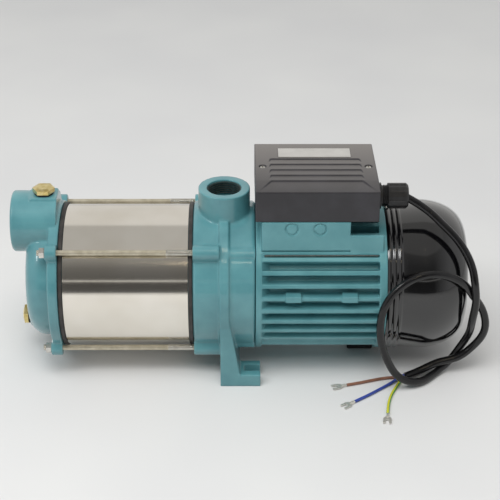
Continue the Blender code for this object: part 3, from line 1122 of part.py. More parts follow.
def cord(name, route, radius, resolution, colour, frame):
    """Plain flexible lead: a round tube along its route."""
    points = smooth_route(route, 5 * radius)
    curve = bpy.data.curves.new(name, "CURVE")
    curve.dimensions = "3D"
    curve.bevel_depth = radius
    curve.bevel_resolution = resolution
    curve.use_fill_caps = True
    line = curve.splines.new("POLY")
    line.points.add(len(points) - 1)
    for point, place in zip(line.points, points):
        point.co = (*place, 1.0)
    curve.materials.append(finish(name, colour, 0.45))
    item = bpy.data.objects.new(name, curve)
    item.parent = frame
    bpy.context.scene.collection.objects.link(item)
    return Vector(points[-1]), (Vector(points[-1]) - Vector(points[-2])).normalized()


def fork_terminal(name, end, direction, frame):
    """Crimped fork terminal: round barrel and a flat tongue with two prongs."""
    half = FORK_WIDTH / 2
    gap = FORK_GAP / 2
    tongue_start = FORK_BARREL_LENGTH - FORK_THICKNESS
    throat = FORK_BARREL_LENGTH + FORK_WIDTH / 2
    outline = [(tongue_start, -FORK_BARREL_RADIUS), (throat - gap, -half), (FORK_LENGTH, -half),
               (FORK_LENGTH, -gap), *arc((throat + gap, 0.0), gap, 270, 90, SMALL // 2), (FORK_LENGTH, gap),
               (FORK_LENGTH, half), (throat - gap, half), (tongue_start, FORK_BARREL_RADIUS)]
    tongue = extruded(outline, -FORK_THICKNESS / 2, FORK_THICKNESS / 2, "Z")
    shape = fused(rod(FORK_BARREL_RADIUS, 0.0, FORK_BARREL_LENGTH), [tongue])
    heading = math.atan2(direction.y, direction.x)
    matrix = Matrix.Translation(end + GAP * direction) @ Matrix.Rotation(heading, 4, "Z")
    part(name, placed(shape, matrix), "B9B7B2", 0.3, 1.0, frame)


def power_cable(frame):
    """Rubber-sheathed lead whose three cores end in fork terminals."""
    cord("power_cable", CABLE_ROUTE, SHEATH_RADIUS, 2, "1A1A1C", frame)
    for core, route in CORE_ROUTES.items():
        end, direction = cord(f"core_{core}", route, CORE_WIRE_RADIUS, 2, CORE_COLOURS[core], frame)
        fork_terminal(f"fork_{core}", end, direction, frame)


for item in list(bpy.data.objects):
    bpy.data.objects.remove(item)

pump_frame = guide("pump_frame", (PORT_X, 0.0, SHAFT_HEIGHT))
rotor_axis = guide("rotor_axis", (PORT_X, 0.0, SHAFT_HEIGHT))
for build in (front_cover, pipe_plugs, pump_shell, tie_rods, diffusers, discharge_casing, motor_frame,
              stator, rear_shield, motor_tie_bolts, fan_cover, motor_rest, terminal_box, box_contents,
              cable_gland, power_cable):
    build(pump_frame)
for build in (shaft, impellers, rotor_core, cooling_fan):
    build(rotor_axis)
seals_and_bearings(pump_frame, rotor_axis)
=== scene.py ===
"""Garden pump, dressed: paint, steel, rubber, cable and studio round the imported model."""
import math

import bmesh
import bpy
from mathutils import Matrix, Vector


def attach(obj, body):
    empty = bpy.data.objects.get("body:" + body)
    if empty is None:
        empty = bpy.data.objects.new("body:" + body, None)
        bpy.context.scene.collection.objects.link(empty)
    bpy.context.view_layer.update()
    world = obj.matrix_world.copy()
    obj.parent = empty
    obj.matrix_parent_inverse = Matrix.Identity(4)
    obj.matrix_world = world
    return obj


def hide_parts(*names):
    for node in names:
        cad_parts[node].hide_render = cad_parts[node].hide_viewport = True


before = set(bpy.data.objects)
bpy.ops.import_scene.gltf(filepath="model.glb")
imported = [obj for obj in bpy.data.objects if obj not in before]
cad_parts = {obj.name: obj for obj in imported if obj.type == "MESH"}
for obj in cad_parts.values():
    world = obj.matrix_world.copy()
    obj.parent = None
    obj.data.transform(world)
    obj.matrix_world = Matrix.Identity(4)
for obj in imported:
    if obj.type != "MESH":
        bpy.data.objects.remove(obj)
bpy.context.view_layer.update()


# Camera
# A long lens looks down at the pump's front from a little under one and a half metres.
# Its place, turn and lens come from the photograph's own edges.
def shown(name, data):
    """A new object of some data, linked to the scene."""
    item = bpy.data.objects.new(name, data)
    bpy.context.scene.collection.objects.link(item)
    return item


camera_place = (-0.0045, -1.2375, 0.8082)
look_down = 0.5105
turn_right = 0.0119
tilt = 0.0049
lens = bpy.data.cameras.new("long_lens")
lens.lens = 100.8
lens.sensor_width = 36
camera = shown("camera", lens)
facing = Matrix.Rotation(-turn_right, 4, "Z") @ Matrix.Rotation(math.pi / 2 - look_down, 4, "X")
camera.matrix_world = Matrix.Translation(camera_place) @ facing @ Matrix.Rotation(tilt, 4, "Z")
bpy.context.scene.camera = camera

# Power cable
# A rubber-sheathed flex, 7.8 mm across. It leaves the gland, falls past the end of the fan cover, makes
# one loop in front of it and ends on the floor, with its sheath stripped off three cores.
# It hangs by its own weight; nothing ties it.
port_place = -0.0156
shaft_height = 0.088


def at(x, y, z):
    """World place of a point in millimetres from the shaft's axis, below the discharge port."""
    return Vector((x / 1000 + port_place, y / 1000, z / 1000 + shaft_height))


def smooth_route(route, spacing):
    """Evenly spaced points, in metres, on the natural cubic spline through a route in millimetres."""
    knots = [at(*point) for point in route]
    spans = [(b - a).length for a, b in zip(knots, knots[1:])]
    size = len(knots)
    upper = [0.0] * size
    right = [Vector()] * size
    for i in range(1, size - 1):
        load = 6 * ((knots[i + 1] - knots[i]) / spans[i] - (knots[i] - knots[i - 1]) / spans[i - 1])
        pivot = 2 * (spans[i - 1] + spans[i]) - spans[i - 1] * upper[i - 1]
        upper[i] = spans[i] / pivot
        right[i] = (load - spans[i - 1] * right[i - 1]) / pivot
    curl = [Vector()] * size
    for i in range(size - 2, 0, -1):
        curl[i] = right[i] - upper[i] * curl[i + 1]
    starts = [sum(spans[:i]) for i in range(size)]
    count = round(starts[-1] / spacing)
    points = []
    for step in range(count + 1):
        place = starts[-1] * step / count
        i = max(k for k in range(size - 1) if starts[k] <= place or k == 0)
        span = spans[i]
        after = place - starts[i]
        before = span - after
        points.append((curl[i] * before ** 3 + curl[i + 1] * after ** 3) / (6 * span)
                      + (knots[i] / span - curl[i] * span / 6) * before
                      + (knots[i + 1] / span - curl[i + 1] * span / 6) * after)
    return points


def flex(name, points, radius):
    """Round flex along its points, as a curve with capped ends; metres."""
    curve = bpy.data.curves.new(name, "CURVE")
    curve.dimensions = "3D"
    curve.bevel_depth = radius
    curve.bevel_resolution = 6
    curve.use_fill_caps = True
    line = curve.splines.new("POLY")
    line.points.add(len(points) - 1)
    for point, place in zip(line.points, points):
        point.co = (*place, 1.0)
    line.use_smooth = True
    return shown(name, curve)


def linear(code):
    """Linear colour from an sRGB hex value."""
    channels = [int(code[i:i + 2], 16) / 255 for i in (0, 2, 4)]
    return (*(c / 12.92 if c <= 0.04045 else ((c + 0.055) / 1.055) ** 2.4 for c in channels), 1.0)


def add(material, kind, links=None, **settings):
    """A node with its settings; links maps its inputs to values or to other nodes' outputs."""
    tree = material.node_tree
    node = tree.nodes.new("ShaderNode" + kind)
    for name, value in settings.items():
        setattr(node, name, value)
    for socket, value in (links or {}).items():
        if isinstance(value, bpy.types.NodeSocket):
            tree.links.new(value, node.inputs[socket])
        else:
            node.inputs[socket].default_value = value
    return node


def surface(name, roughness, metallic=0.0, **sockets):
    """A new material and its shader, with the values that are the same all over it."""
    material = bpy.data.materials.new(name)
    material.use_nodes = True
    shader = material.node_tree.nodes["Principled BSDF"]
    shader.inputs["Roughness"].default_value = roughness
    shader.inputs["Metallic"].default_value = metallic
    for socket, value in sockets.items():
        shader.inputs[socket.replace("_", " ").title().replace("Ior", "IOR")].default_value = value
    return material, shader


def mottled(material, shader, first, second, size, detail=2.0):
    """Colour that drifts between two hex values in patches of a size in millimetres."""
    place = add(material, "TexCoord").outputs["Object"]
    cloud = add(material, "TexNoise", {"Vector": place, "Scale": 1000 / size, "Detail": detail})
    blend = add(material, "ValToRGB", {"Fac": cloud.outputs["Fac"]})
    for stop, position, code in zip(blend.color_ramp.elements, (0.35, 0.65), (first, second)):
        stop.position = position
        stop.color = linear(code)
    material.node_tree.links.new(blend.outputs["Color"], shader.inputs["Base Color"])


def grained(material, shader, size, depth, stretch=(1, 1, 1), rounding=0.0):
    """Fine relief: grain of a size and depth in millimetres, on edges rounded by a radius."""
    place = add(material, "TexCoord").outputs["Object"]
    spread = add(material, "Mapping", {"Vector": place, "Scale": stretch})
    grain = add(material, "TexNoise", {"Vector": spread.outputs["Vector"], "Scale": 1000 / size,
                                       "Detail": 3.0})
    relief = add(material, "Bump", {"Height": grain.outputs["Fac"], "Distance": depth / 1000,
                                    "Strength": 1.0})
    if rounding:
        edge = add(material, "Bevel", {"Radius": rounding / 1000}, samples=4)
        material.node_tree.links.new(edge.outputs["Normal"], relief.inputs["Normal"])
    material.node_tree.links.new(relief.outputs["Normal"], shader.inputs["Normal"])


# Extruded rubber is near black and smooth enough for one long highlight.
rubber_sheath, shader = surface("vulcanised rubber, extruded", roughness=0.2, ior=1.5)
mottled(rubber_sheath, shader, "0B0B0C", "141416", size=12)
grained(rubber_sheath, shader, size=1.2, depth=0.02)

cable_radius = 0.0039
cable_route = (
    (174.8, -27.1, 102.3), (180.5, -27.4, 99.2), (189.5, -29.2, 94.2), (201, -34.2, 87.3),
    (212, -40.5, 78.6), (224, -47.5, 68.3), (234.7, -54.2, 54.6), (242, -60.7, 38.7),
    (245, -66.5, 22.5), (247, -66, 4.5), (246, -63.5, -14), (246.5, -55, -31.5),
    (245, -44.5, -50), (237, -42.5, -67.5), (228, -47, -77.5), (219, -53, -82.5),
    (208, -64, -84), (197, -74.5, -82.5), (184, -80.5, -78.5), (172, -82.5, -70),
    (163, -84, -55), (156, -84.5, -37), (152.5, -84, -17), (154, -83, 4),
    (163, -80, 22), (177.5, -77, 34.5), (197, -73.5, 40.5), (217, -70, 37),
    (235.1, -64.7, 23.8), (245.4, -57.6, 7.3), (255.5, -53, -9), (261, -52.5, -26),
    (260, -50, -43), (250.5, -49, -58.5), (236.5, -52, -68.5), (218, -53.5, -73.5),
    (199.5, -57.5, -80.5), (183, -64, -83.9),
)
cable = flex("power_flex", smooth_route(cable_route, spacing=0.0025), cable_radius)
cable.data.materials.append(rubber_sheath)
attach(cable, "pump_body")
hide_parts("power_cable")

# Cores and fork terminals
# Three PVC-insulated cores, 3 mm across, come out of the stripped sheath and lie on the floor.
# Each is crimped into a tinned copper fork; the earth core is green with a yellow stripe.
core_radius = 0.0015
core_sides = 12
yellow_sides = (2, 3, 4, 8, 9, 10)
core_routes = {
    "brown": ((181.4, -62.4, -84.9), (176, -62.4, -85.9), (166, -63, -86.3), (152, -66.5, -86.3),
              (137, -71.5, -86.3), (122.8, -75.6, -86.3)),
    "blue": ((181.7, -64.4, -81.9), (177.5, -66, -83.4), (170, -71, -85.6), (158, -81, -86.3),
             (143, -93.5, -86.3), (128.8, -104.2, -86.3)),
    "earth": ((182.8, -65.9, -84.9), (178.5, -69, -85.9), (173, -78, -86.3), (167.5, -90, -86.3),
              (163, -104, -86.3), (160.8, -116, -86.3), (159.6, -125, -86.3)),
}


def insulation(name, first, second):
    """Plasticised PVC, extruded smooth: a soft gloss and a faint drift in its colour."""
    material, shader = surface(name, roughness=0.38, ior=1.53)
    mottled(material, shader, first, second, size=6)
    grained(material, shader, size=0.8, depth=0.01)
    return material


def from_mesh(name, mesh):
    """An object of the shape that bmesh has made."""
    data = bpy.data.meshes.new(name)
    mesh.to_mesh(data)
    mesh.free()
    return shown(name, data)


def tube_along(name, points, radius, sides, materials, second_sides):
    """Closed tube mesh along points, in metres; some of its sides take the second material."""
    mesh = bmesh.new()
    rings = []
    across = Vector((0, 0, 1))
    for i, point in enumerate(points):
        ahead = points[min(i + 1, len(points) - 1)] - points[max(i - 1, 0)]
        side = ahead.cross(across).normalized()
        lift = side.cross(ahead).normalized()
        rings.append([mesh.verts.new(point + radius * (math.cos(a) * side + math.sin(a) * lift))
                      for a in (math.tau * k / sides for k in range(sides))])
    for first, second in zip(rings, rings[1:]):
        for k in range(sides):
            face = mesh.faces.new((first[k], first[k - 1], second[k - 1], second[k]))
            face.material_index = 1 if k in second_sides else 0
            face.smooth = True
    mesh.faces.new(rings[0])
    mesh.faces.new(rings[-1][::-1])
    bmesh.ops.recalc_face_normals(mesh, faces=mesh.faces[:])
    piece = from_mesh(name, mesh)
    for material in materials:
        piece.data.materials.append(material)
    return piece


core_colours = {
    "brown": [insulation("brown PVC, extruded", "7B5441", "8E6450")],
    "blue": [insulation("blue PVC, extruded", "2B3F8F", "3A50A8")],
    "earth": [insulation("green PVC, extruded", "2F8A45", "38994E"),
              insulation("yellow PVC, extruded", "C9C832", "D6D340")],
}
# Stamped and tinned copper is pale and a little dull, with soft edges.
tinned, shader = surface("tinned copper, stamped", roughness=0.45, metallic=0.7)
mottled(tinned, shader, "E2DFD6", "F1EEE6", size=2)
grained(tinned, shader, size=0.6, depth=0.03, rounding=0.2)


def give(material, *nodes):
    """Puts a material on CAD nodes."""
    for node in nodes:
        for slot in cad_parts[node].material_slots:
            slot.material = material


for name, route in core_routes.items():
    points = smooth_route(route, spacing=0.0015)
    core = tube_along(f"core_flex_{name}", points, core_radius, core_sides, core_colours[name],
                      yellow_sides if name == "earth" else ())
    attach(core, "pump_body")
    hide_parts(f"core_{name}")
    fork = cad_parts[f"fork_{name}"]
    give(tinned, fork.name)

# Front cover and discharge casing
# Grey iron, sand cast, then sprayed with a teal enamel. The cover shuts the pump's wet end and holds the
# suction port; the casing carries the discharge port and stands on two slotted feet.
# Four tie rods draw one towards the other, with the shell between them.

# Thick enamel has a soft sheen, drifts slightly in shade and lets the sand's grain show through. The
# grain is drawn coarser than it is, so that it shows.
enamel_on_iron, shader = surface("teal enamel on cast iron", roughness=0.34, coat_weight=0.7,
                                 coat_roughness=0.1)
mottled(enamel_on_iron, shader, "4E868E", "5B949B", size=30, detail=4.0)
grained(enamel_on_iron, shader, size=2.2, depth=0.12)


def revolve(outline, centre=(0.0, 0.0), sides=96):
    """Body turned about an X axis from (x, radius) points in millimetres: a ring, or closed on the axis."""
    mesh = bmesh.new()
    verts = [mesh.verts.new((x, 0.0, radius)) for x, radius in outline]
    pairs = list(zip(verts, verts[1:]))
    if outline[0][1] > 0:
        pairs.append((verts[-1], verts[0]))
    edges = [mesh.edges.new(pair) for pair in pairs]
    bmesh.ops.spin(mesh, geom=verts + edges, cent=(0, 0, 0), axis=(1, 0, 0), angle=math.tau, steps=sides,
                   use_merge=True)
    bmesh.ops.remove_doubles(mesh, verts=mesh.verts[:], dist=0.001)
    bmesh.ops.translate(mesh, verts=mesh.verts[:], vec=(0.0, *centre))
    bmesh.ops.recalc_face_normals(mesh, faces=mesh.faces[:])
    return mesh


def prism(outline, start, end, axis="X"):
    """Outline in millimetres drawn out along an axis; its points are the other two coordinates."""
    place = {
        "X": lambda along, a, b: (along, a, b),
        "Y": lambda along, a, b: (a, along, b),
        "Z": lambda along, a, b: (a, b, along),
    }[axis]
    mesh = bmesh.new()
    low, high = [[mesh.verts.new(place(along, a, b)) for a, b in outline] for along in (start, end)]
    mesh.faces.new(low)
    mesh.faces.new(high[::-1])
    for i in range(len(low)):
        mesh.faces.new((low[i - 1], high[i - 1], high[i], low[i]))
    bmesh.ops.recalc_face_normals(mesh, faces=mesh.faces[:])
    return mesh


def bend(centre, radius, start, end, steps):
    """Points along an arc, angles in degrees from the first axis."""
    turns = [math.radians(start + (end - start) * i / steps) for i in range(steps + 1)]
    return [(centre[0] + radius * math.cos(t), centre[1] + radius * math.sin(t)) for t in turns]


def bar(radius, start, end, centre=(0.0, 0.0), axis="X", sides=48):
    """Round bar along an axis, in millimetres."""
    return prism(bend(centre, radius, 0, 360 - 360 / sides, sides - 1), start, end, axis)


def slab(low, high):
    """Plate or bar between two corners, in millimetres."""
    front, below = low[1:]
    back, above = high[1:]
    return prism([(front, below), (back, below), (back, above), (front, above)], low[0], high[0])


def ear(radius, spot, rim, spread, start, end):
    """Lug round a rod's hole, spreading to where it leaves a round rim; millimetres."""
    outward = Vector(spot).normalized()
    along = Vector((-outward.y, outward.x))
    foot = outward * (rim - 8)
    points = [*bend(spot, radius, 0, 345, 23), foot - along * spread, foot + along * spread]
    mesh = bmesh.new()
    bmesh.ops.convex_hull(mesh, input=[mesh.verts.new((x, y, z)) for x in (start, end) for y, z in points])
    bmesh.ops.delete(mesh, geom=[vert for vert in mesh.verts if not vert.link_faces], context="VERTS")
    bmesh.ops.recalc_face_normals(mesh, faces=mesh.faces[:])
    return mesh


def corners(circle):
    """The four places at 45 degrees round the shaft, on a circle."""
    side = circle / math.sqrt(2)
    return [(-side, side), (side, side), (side, -side), (-side, -side)]


def mould(blank, voxel, passes, share):
    """Softens a body's edges as a mould does: a new skin of a voxel size, smoothed and thinned."""
    skin = blank.modifiers.new("skin", "REMESH")
    skin.mode = "VOXEL"
    skin.voxel_size = voxel
    soften = blank.modifiers.new("soften", "SMOOTH")
    soften.factor = 0.5
    soften.iterations = passes
    thin = blank.modifiers.new("thin", "DECIMATE")
    thin.ratio = share


def worked(blank):
    """The mesh that a blank's modifiers leave; the blank itself is removed."""
    data = bpy.data.meshes.new_from_object(blank.evaluated_get(bpy.context.evaluated_depsgraph_get()))
    bpy.data.objects.remove(blank)
    return data


below_port = Matrix.Translation(at(0, 0, 0))


def made(name, body, added=(), cut=(), voxel=0.0, passes=3, share=0.4, place=below_port):
    """Piece from shapes in millimetres, joined and then cut in turn; a voxel size moulds its edges."""
    blank = from_mesh("blank", body)
    tools = []
    for operation, shapes in (("UNION", added), ("DIFFERENCE", cut)):
        for shape in shapes:
            tools.append(from_mesh("tool", shape))
            step = blank.modifiers.new(operation, "BOOLEAN")
            step.operation = operation
            step.solver = "EXACT"
            step.object = tools[-1]
    if voxel:
        mould(blank, voxel, passes, share)
    data = worked(blank)
    for tool in tools:
        bpy.data.objects.remove(tool)
    data.name = name
    data.transform(place @ Matrix.Scale(0.001, 4))
    data.shade_smooth()
    if not voxel:
        data.set_sharp_from_angle(angle=math.radians(32))
    return shown(name, data)


def finish(piece, material):
    """Puts a material on a piece and attaches the piece to the pump's body."""
    piece.data.materials.clear()
    piece.data.materials.append(material)
    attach(piece, "pump_body")


def stand_for(piece, node, material):
    """Finishes a piece that takes a CAD node's place."""
    finish(piece, material)
    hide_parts(node)


rods = corners(77)
rod_lug = 7.7
rod_hole = 3.3
port_bore = 17
plug_hole = 8
suction_axis = (0, 61)
drain_axis = (0, -48)
filler_axis = (-178.3, 0)
cover_rim = 75
flange_left = -172.2
flange_right = -162.2
spigot = 69.7
throat = 63.7
dome = (-179.6, 45)
outside = [(-196.6, 0), *bend(dome, 17, 180, 90, 12), (flange_left, 62), (flange_left, 73.8),
           (-171, cover_rim), (flange_right, cover_rim), (flange_right, spigot), (-151.6, spigot),
           (-151.6, 0)]
hollow = [(-190.6, 0), *bend(dome, 11, 180, 90, 8), (flange_left, 56), (flange_right, throat),
          (-151.3, throat), (-151.3, 0)]
boss = [(-210.2, 0), (-210.2, 29.1), (-208.7, 30.6), (-164.8, 30.6), (-164.8, 0)]
filler_pad = slab((-191.8, -12.5, 78), (-165.1, 12.5, 91.9))
drain_boss = bar(12.5, -200.6, -179.6, drain_axis)
cover = made(
    "front_cover_casting", revolve(outside),
    [revolve(boss, suction_axis), filler_pad, drain_boss,
     *(ear(rod_lug, spot, cover_rim, spread=11, start=flange_left, end=flange_right) for spot in rods),
     *(bar(rod_lug, -173.7, -162.5, spot) for spot in rods)],
    [revolve(hollow), bar(port_bore, -211, -170.8, suction_axis, sides=96),
     bar(plug_hole, 61, 93, filler_axis, "Z"), bar(plug_hole, -202, -179.6, drain_axis),
     *(bar(rod_hole, -175, -161, spot) for spot in rods)],
    voxel=1.0)
stand_for(cover, "front_cover", enamel_on_iron)

bolts = corners(69)
bolt_lug = 8
bolt_hole = 2.7
casing_rim = 74.5
casing_left = -30.6
casing_right = 30.6
foot_width = 27.5
foot_slot = 11
barrel = [(-41.2, 0), (-41.2, spigot), (casing_left, spigot), (casing_left, 72.5), (-28.6, casing_rim),
          (-5.1, casing_rim), (-4.8, 78), (4.8, 78), (5.1, casing_rim), (28.6, casing_rim),
          (casing_right, 72.5), (casing_right, 0)]
chamber = [(-41.5, 0), (-41.5, throat), (4.4, throat), (4.4, 16), (11.4, 16), (11.4, 9.3), (18, 9.3),
           (18, 20.3), (31, 20.3), (31, 0)]
discharge_boss = bar(25.6, 63.7, 98.3, axis="Z", sides=96)
leg = prism([(-4, -10), (4.8, -10), (15.6, -74.8), (15.6, -79), (-4, -79)], -75.5, 75.5, "Y")
casing = made(
    "discharge_casing_casting", revolve(barrel),
    [discharge_boss, leg,
     *(slab((-4, low, -88), (36, low + foot_width, -74.5)) for low in (-75.5, 48)),
     *(ear(rod_lug, spot, casing_rim, spread=11, start=casing_left, end=-4.5) for spot in rods),
     *(ear(bolt_lug, spot, casing_rim, spread=9.5, start=4.5, end=casing_right) for spot in bolts)],
    [revolve(chamber), bar(port_bore, 55.2, 99, axis="Z", sides=96),
     *(slab((19.5, low, -89), (37, low + foot_slot, -74)) for low in (-66, 55)),
     *(bar(rod_hole, -31, -8.6, spot) for spot in rods),
     *(bar(bolt_hole, 14.6, 31, spot) for spot in bolts)],
    voxel=1.0)
stand_for(casing, "discharge_casing", enamel_on_iron)


def threaded(name, root, crest, pitch, start, turns, place, steps, material):
    """Screw thread as one ridge that winds along X from start, in millimetres, placed by a matrix."""
    mesh = bmesh.new()
    rows = []
    half = pitch * 0.42
    flat = half * 0.12
    for i in range(round(turns * steps) + 1):
        along = start + pitch * i / steps
        # The ridge rises and falls away over a quarter of a turn.
        fade = min(1.0, i / (steps / 4), (turns * steps - i) / (steps / 4))
        tip = root + (crest - root) * max(fade, 0.05)
        angle = math.tau * i / steps
        row = []
        for shift, radius in ((-half, root), (-flat, tip), (flat, tip), (half, root)):
            row.append(mesh.verts.new((along + shift, radius * math.sin(angle), radius * math.cos(angle))))
        rows.append(row)
    for first, second in zip(rows, rows[1:]):
        for k in range(4):
            mesh.faces.new((first[k], first[(k + 1) % 4], second[(k + 1) % 4], second[k]))
    mesh.faces.new(rows[0][::-1])
    mesh.faces.new(rows[-1])
    bmesh.ops.recalc_face_normals(mesh, faces=mesh.faces[:])
    bmesh.ops.transform(mesh, matrix=place @ Matrix.Scale(0.001, 4), verts=mesh.verts[:])
    piece = from_mesh(name, mesh)
    piece.data.shade_smooth()
    piece.data.set_sharp_from_angle(angle=math.radians(35))
    finish(piece, material)


# Where the thread is cut, bare iron shows, a little bright on the crests. Its colour is darker than bare
# iron's and tinted teal: painted shade for the inside of the ports.
cut_iron_painted_shade, shader = surface("cast iron, cut, painted dark for shade", roughness=0.42, metallic=0.6)
mottled(cut_iron_painted_shade, shader, "34403F", "475554", size=4)
grained(cut_iron_painted_shade, shader, size=0.8, depth=0.03)
upright = below_port @ Matrix.Rotation(-math.pi / 2, 4, "Y")
level = Matrix.Translation(at(0, *suction_axis))
for name, place, start in (("discharge_thread", upright, 83.5), ("suction_thread", level, -208.5)):
    threaded(name, root=17.2, crest=15.8, pitch=2.31, start=start, turns=6, place=place, steps=40,
             material=cut_iron_painted_shade)

# Filler and drain plugs
# Hexagon plugs turned from brass bar, with a domed top, each screwed down on a black seal ring.
# Bare brass: bright on the flats, browner where hands and weather reached it.
brass, shader = surface("brass bar, turned", roughness=0.28, metallic=1.0)
mottled(brass, shader, "D6C07C", "F2E2AC", size=6)
grained(brass, shader, size=0.8, depth=0.02, stretch=(1, 1, 6), rounding=0.5)
give(brass, "filler_plug", "drain_plug")
# Moulded rubber is dull and near black.
seal_rubber, shader = surface("nitrile rubber, moulded", roughness=0.7, ior=1.5)
mottled(seal_rubber, shader, "1E1D1D", "2C2A29", size=4)
grained(seal_rubber, shader, size=0.6, depth=0.02, rounding=0.3)
give(seal_rubber, "filler_seal", "drain_seal")

# Pump shell and gaskets
# Stainless tube, clamped between cover and casing, and polished round its girth.
# A dark rubber gasket lies between each end and its casting and stands a little proud.

# The polish mirrors the room in long soft bands, and its fine lines run round the tube.
polished_steel, shader = surface("stainless steel, polished round", roughness=0.13, metallic=1.0,
                                 anisotropic=0.3)
mottled(polished_steel, shader, "E6E0D5", "EFEAE1", size=50)
grained(polished_steel, shader, size=0.9, depth=0.003, stretch=(1, 0.02, 0.02))
tube_wall = [(-157.6, 70), (-157.6, 71), (-157.4, 71.2), (-35.4, 71.2), (-35.2, 71), (-35.2, 70)]
tube = made("polished_tube", revolve(tube_wall, sides=256))
stand_for(tube, "pump_shell", polished_steel)
# The gaskets are a brown-black rubber without a shine.
gasket_rubber, shader = surface("EPDM rubber, moulded", roughness=0.62, ior=1.5)
mottled(gasket_rubber, shader, "2F2D2C", "413E3C", size=10)
grained(gasket_rubber, shader, size=0.9, depth=0.03)
for node, left in (("front_gasket", -161.9), ("rear_gasket", -34.9)):
    right = left + 4
    lip = [(left, 70), (left, 72.2), (left + 0.6, 72.8), (right - 0.6, 72.8), (right, 72.2), (right, 70)]
    stand_for(made(f"{node}_ring", revolve(lip, sides=192)), node, gasket_rubber)

# Stages, shaft and shaft seal
# Impellers of welded stainless sheet turn in moulded cups, in a row on the steel shaft, held by a nut.
# A carbon ring turns against a ceramic seat where the shaft leaves the water. All are shut inside.
# Pressed sheet is bright, with soft blurred reflections.
stage_steel, shader = surface("stainless sheet, pressed", roughness=0.3, metallic=1.0)
mottled(stage_steel, shader, "B9B5AA", "CCC8BD", size=10)
grained(stage_steel, shader, size=1, depth=0.02, rounding=0.3)
give(stage_steel, "impeller_1", "impeller_2", "impeller_3", "impeller_4", "impeller_nut", "shaft")
# The cups are off-white, with the faint speckle of glass fibre.
stage_polymer, shader = surface("glass-filled polymer, moulded", roughness=0.5, ior=1.5)
mottled(stage_polymer, shader, "D2CDBC", "DFDBCB", size=8)
grained(stage_polymer, shader, size=0.5, depth=0.03, rounding=0.3)
give(stage_polymer, "diffuser_1", "diffuser_2", "diffuser_3", "diffuser_4")
# Carbon is a soft dark grey, and its ceramic seat is white and glossy.
carbon, shader = surface("carbon graphite, ground", roughness=0.45, ior=1.8)
mottled(carbon, shader, "35332F", "45423D", size=3)
grained(carbon, shader, size=0.4, depth=0.01)
give(carbon, "seal_head")
ceramic, shader = surface("alumina ceramic, lapped", roughness=0.2, ior=1.75)
mottled(ceramic, shader, "E4DFD2", "EEEADF", size=4)
grained(ceramic, shader, size=0.4, depth=0.005)
give(ceramic, "seal_seat")

# Tie rods and nuts
# Cold-drawn steel rods, zinc plated, with a rolled thread at both ends.
# Each screws into a lug of the casing, and a plated nut draws it up against the front cover.

# The rods' plating has gone matt and yellowish; cold-headed nuts and screws are still bright.
zinc, shader = surface("zinc-plated steel, cold drawn", roughness=0.48, metallic=0.75)
mottled(zinc, shader, "BFB7A2", "D4CDBA", size=8)
grained(zinc, shader, size=0.8, depth=0.02, rounding=0.3)
bright_zinc, shader = surface("zinc-plated steel, cold headed", roughness=0.26, metallic=1.0)
mottled(bright_zinc, shader, "D0CEC8", "E2E0DA", size=4)
grained(bright_zinc, shader, size=0.6, depth=0.02, rounding=0.4)
rod_profile = [(-181.5, 0), (-181.5, 2.4), (-180.9, 3), (-162.2, 3), (-161.9, 2.7), (-57.6, 2.7),
               (-57.3, 2.9), (-10.6, 2.9), (-10.6, 0)]
for number, spot in enumerate(rods, 1):
    rod = made(f"rolled_rod_{number}", revolve(rod_profile, spot, 24))
    stand_for(rod, f"tie_rod_{number}", zinc)
    give(bright_zinc, f"tie_rod_nut_{number}")
    for end, start, turns in (("casing", -56.8, 20), ("cover", -181.5, 2)):
        threaded(f"tie_rod_{number}_{end}_thread", root=2.9, crest=3.2, pitch=1.25, start=start,
                 turns=turns, place=Matrix.Translation(at(0, *spot)), steps=16, material=bright_zinc)

# Motor frame and rear shield
# Aluminium, die cast with its fins and the terminal box's base in one, and sprayed with the same enamel.
# Four long bolts run through its corners and clamp it between casing and shield.

# The die leaves it smoother than the iron, and the enamel's metallic flake shows more.
enamel_on_aluminium, shader = surface("teal enamel on die-cast aluminium", roughness=0.34, metallic=0.2,
                                      coat_weight=0.3, coat_roughness=0.2)
mottled(enamel_on_aluminium, shader, "579198", "639CA3", size=25, detail=4.0)
grained(enamel_on_aluminium, shader, size=1.6, depth=0.06)
give(enamel_on_aluminium, "rear_shield")
give(bright_zinc, *(f"motor_tie_bolt_{number}" for number in range(1, 5)))


def round_shaft(radius, degrees):
    """Point (y, z) round the shaft: 0 degrees faces the front, 90 degrees is up."""
    turn = math.radians(degrees)
    return (-radius * math.cos(turn), radius * math.sin(turn))


fin_foot = 63.5
fin_tip = 75
belly = 71
frame_bore = 59.7
frame_rim = 75.3
front_fins = range(-30, 50, 10)
top_fins = range(60, 130, 10)
section = []
for angle in sorted([*front_fins, *top_fins, *(180 - angle for angle in front_fins)]):
    for radius, half in ((fin_foot, -2.9), (fin_tip, -2.1), (fin_tip, 2.1), (fin_foot, 2.9)):
        section.append(round_shaft(radius, angle + math.degrees(half / radius)))
# The underside has no fins.
section += [round_shaft(belly, angle) for angle in range(216, 326, 5)]

front_flange = revolve([(30.9, frame_bore), (30.9, frame_rim), (36.5, frame_rim), (45, 63),
                        (45, frame_bore)])
rear_flange = revolve([(151.5, frame_bore), (151.5, frame_rim), (159.1, frame_rim), (159.1, frame_bore)])
box_base = slab((36.4, -53, 50), (122.4, 53, 86.6))
rest_boss = slab((127.9, -9, -75.3), (153.9, 9, -63))
rails = [bar(5.6, 31, 159, spot, sides=32) for spot in bolts]
skirts = [slab((117.4, low, 50), (155.3, low + 3.5, 72)) for low in (-52.9, 49.4)]
pads = [slab((left, low, 10), (left + 15.4, low + 9.9, 17)) for left in (59.9, 114.9) for low in (-75.9, 66)]

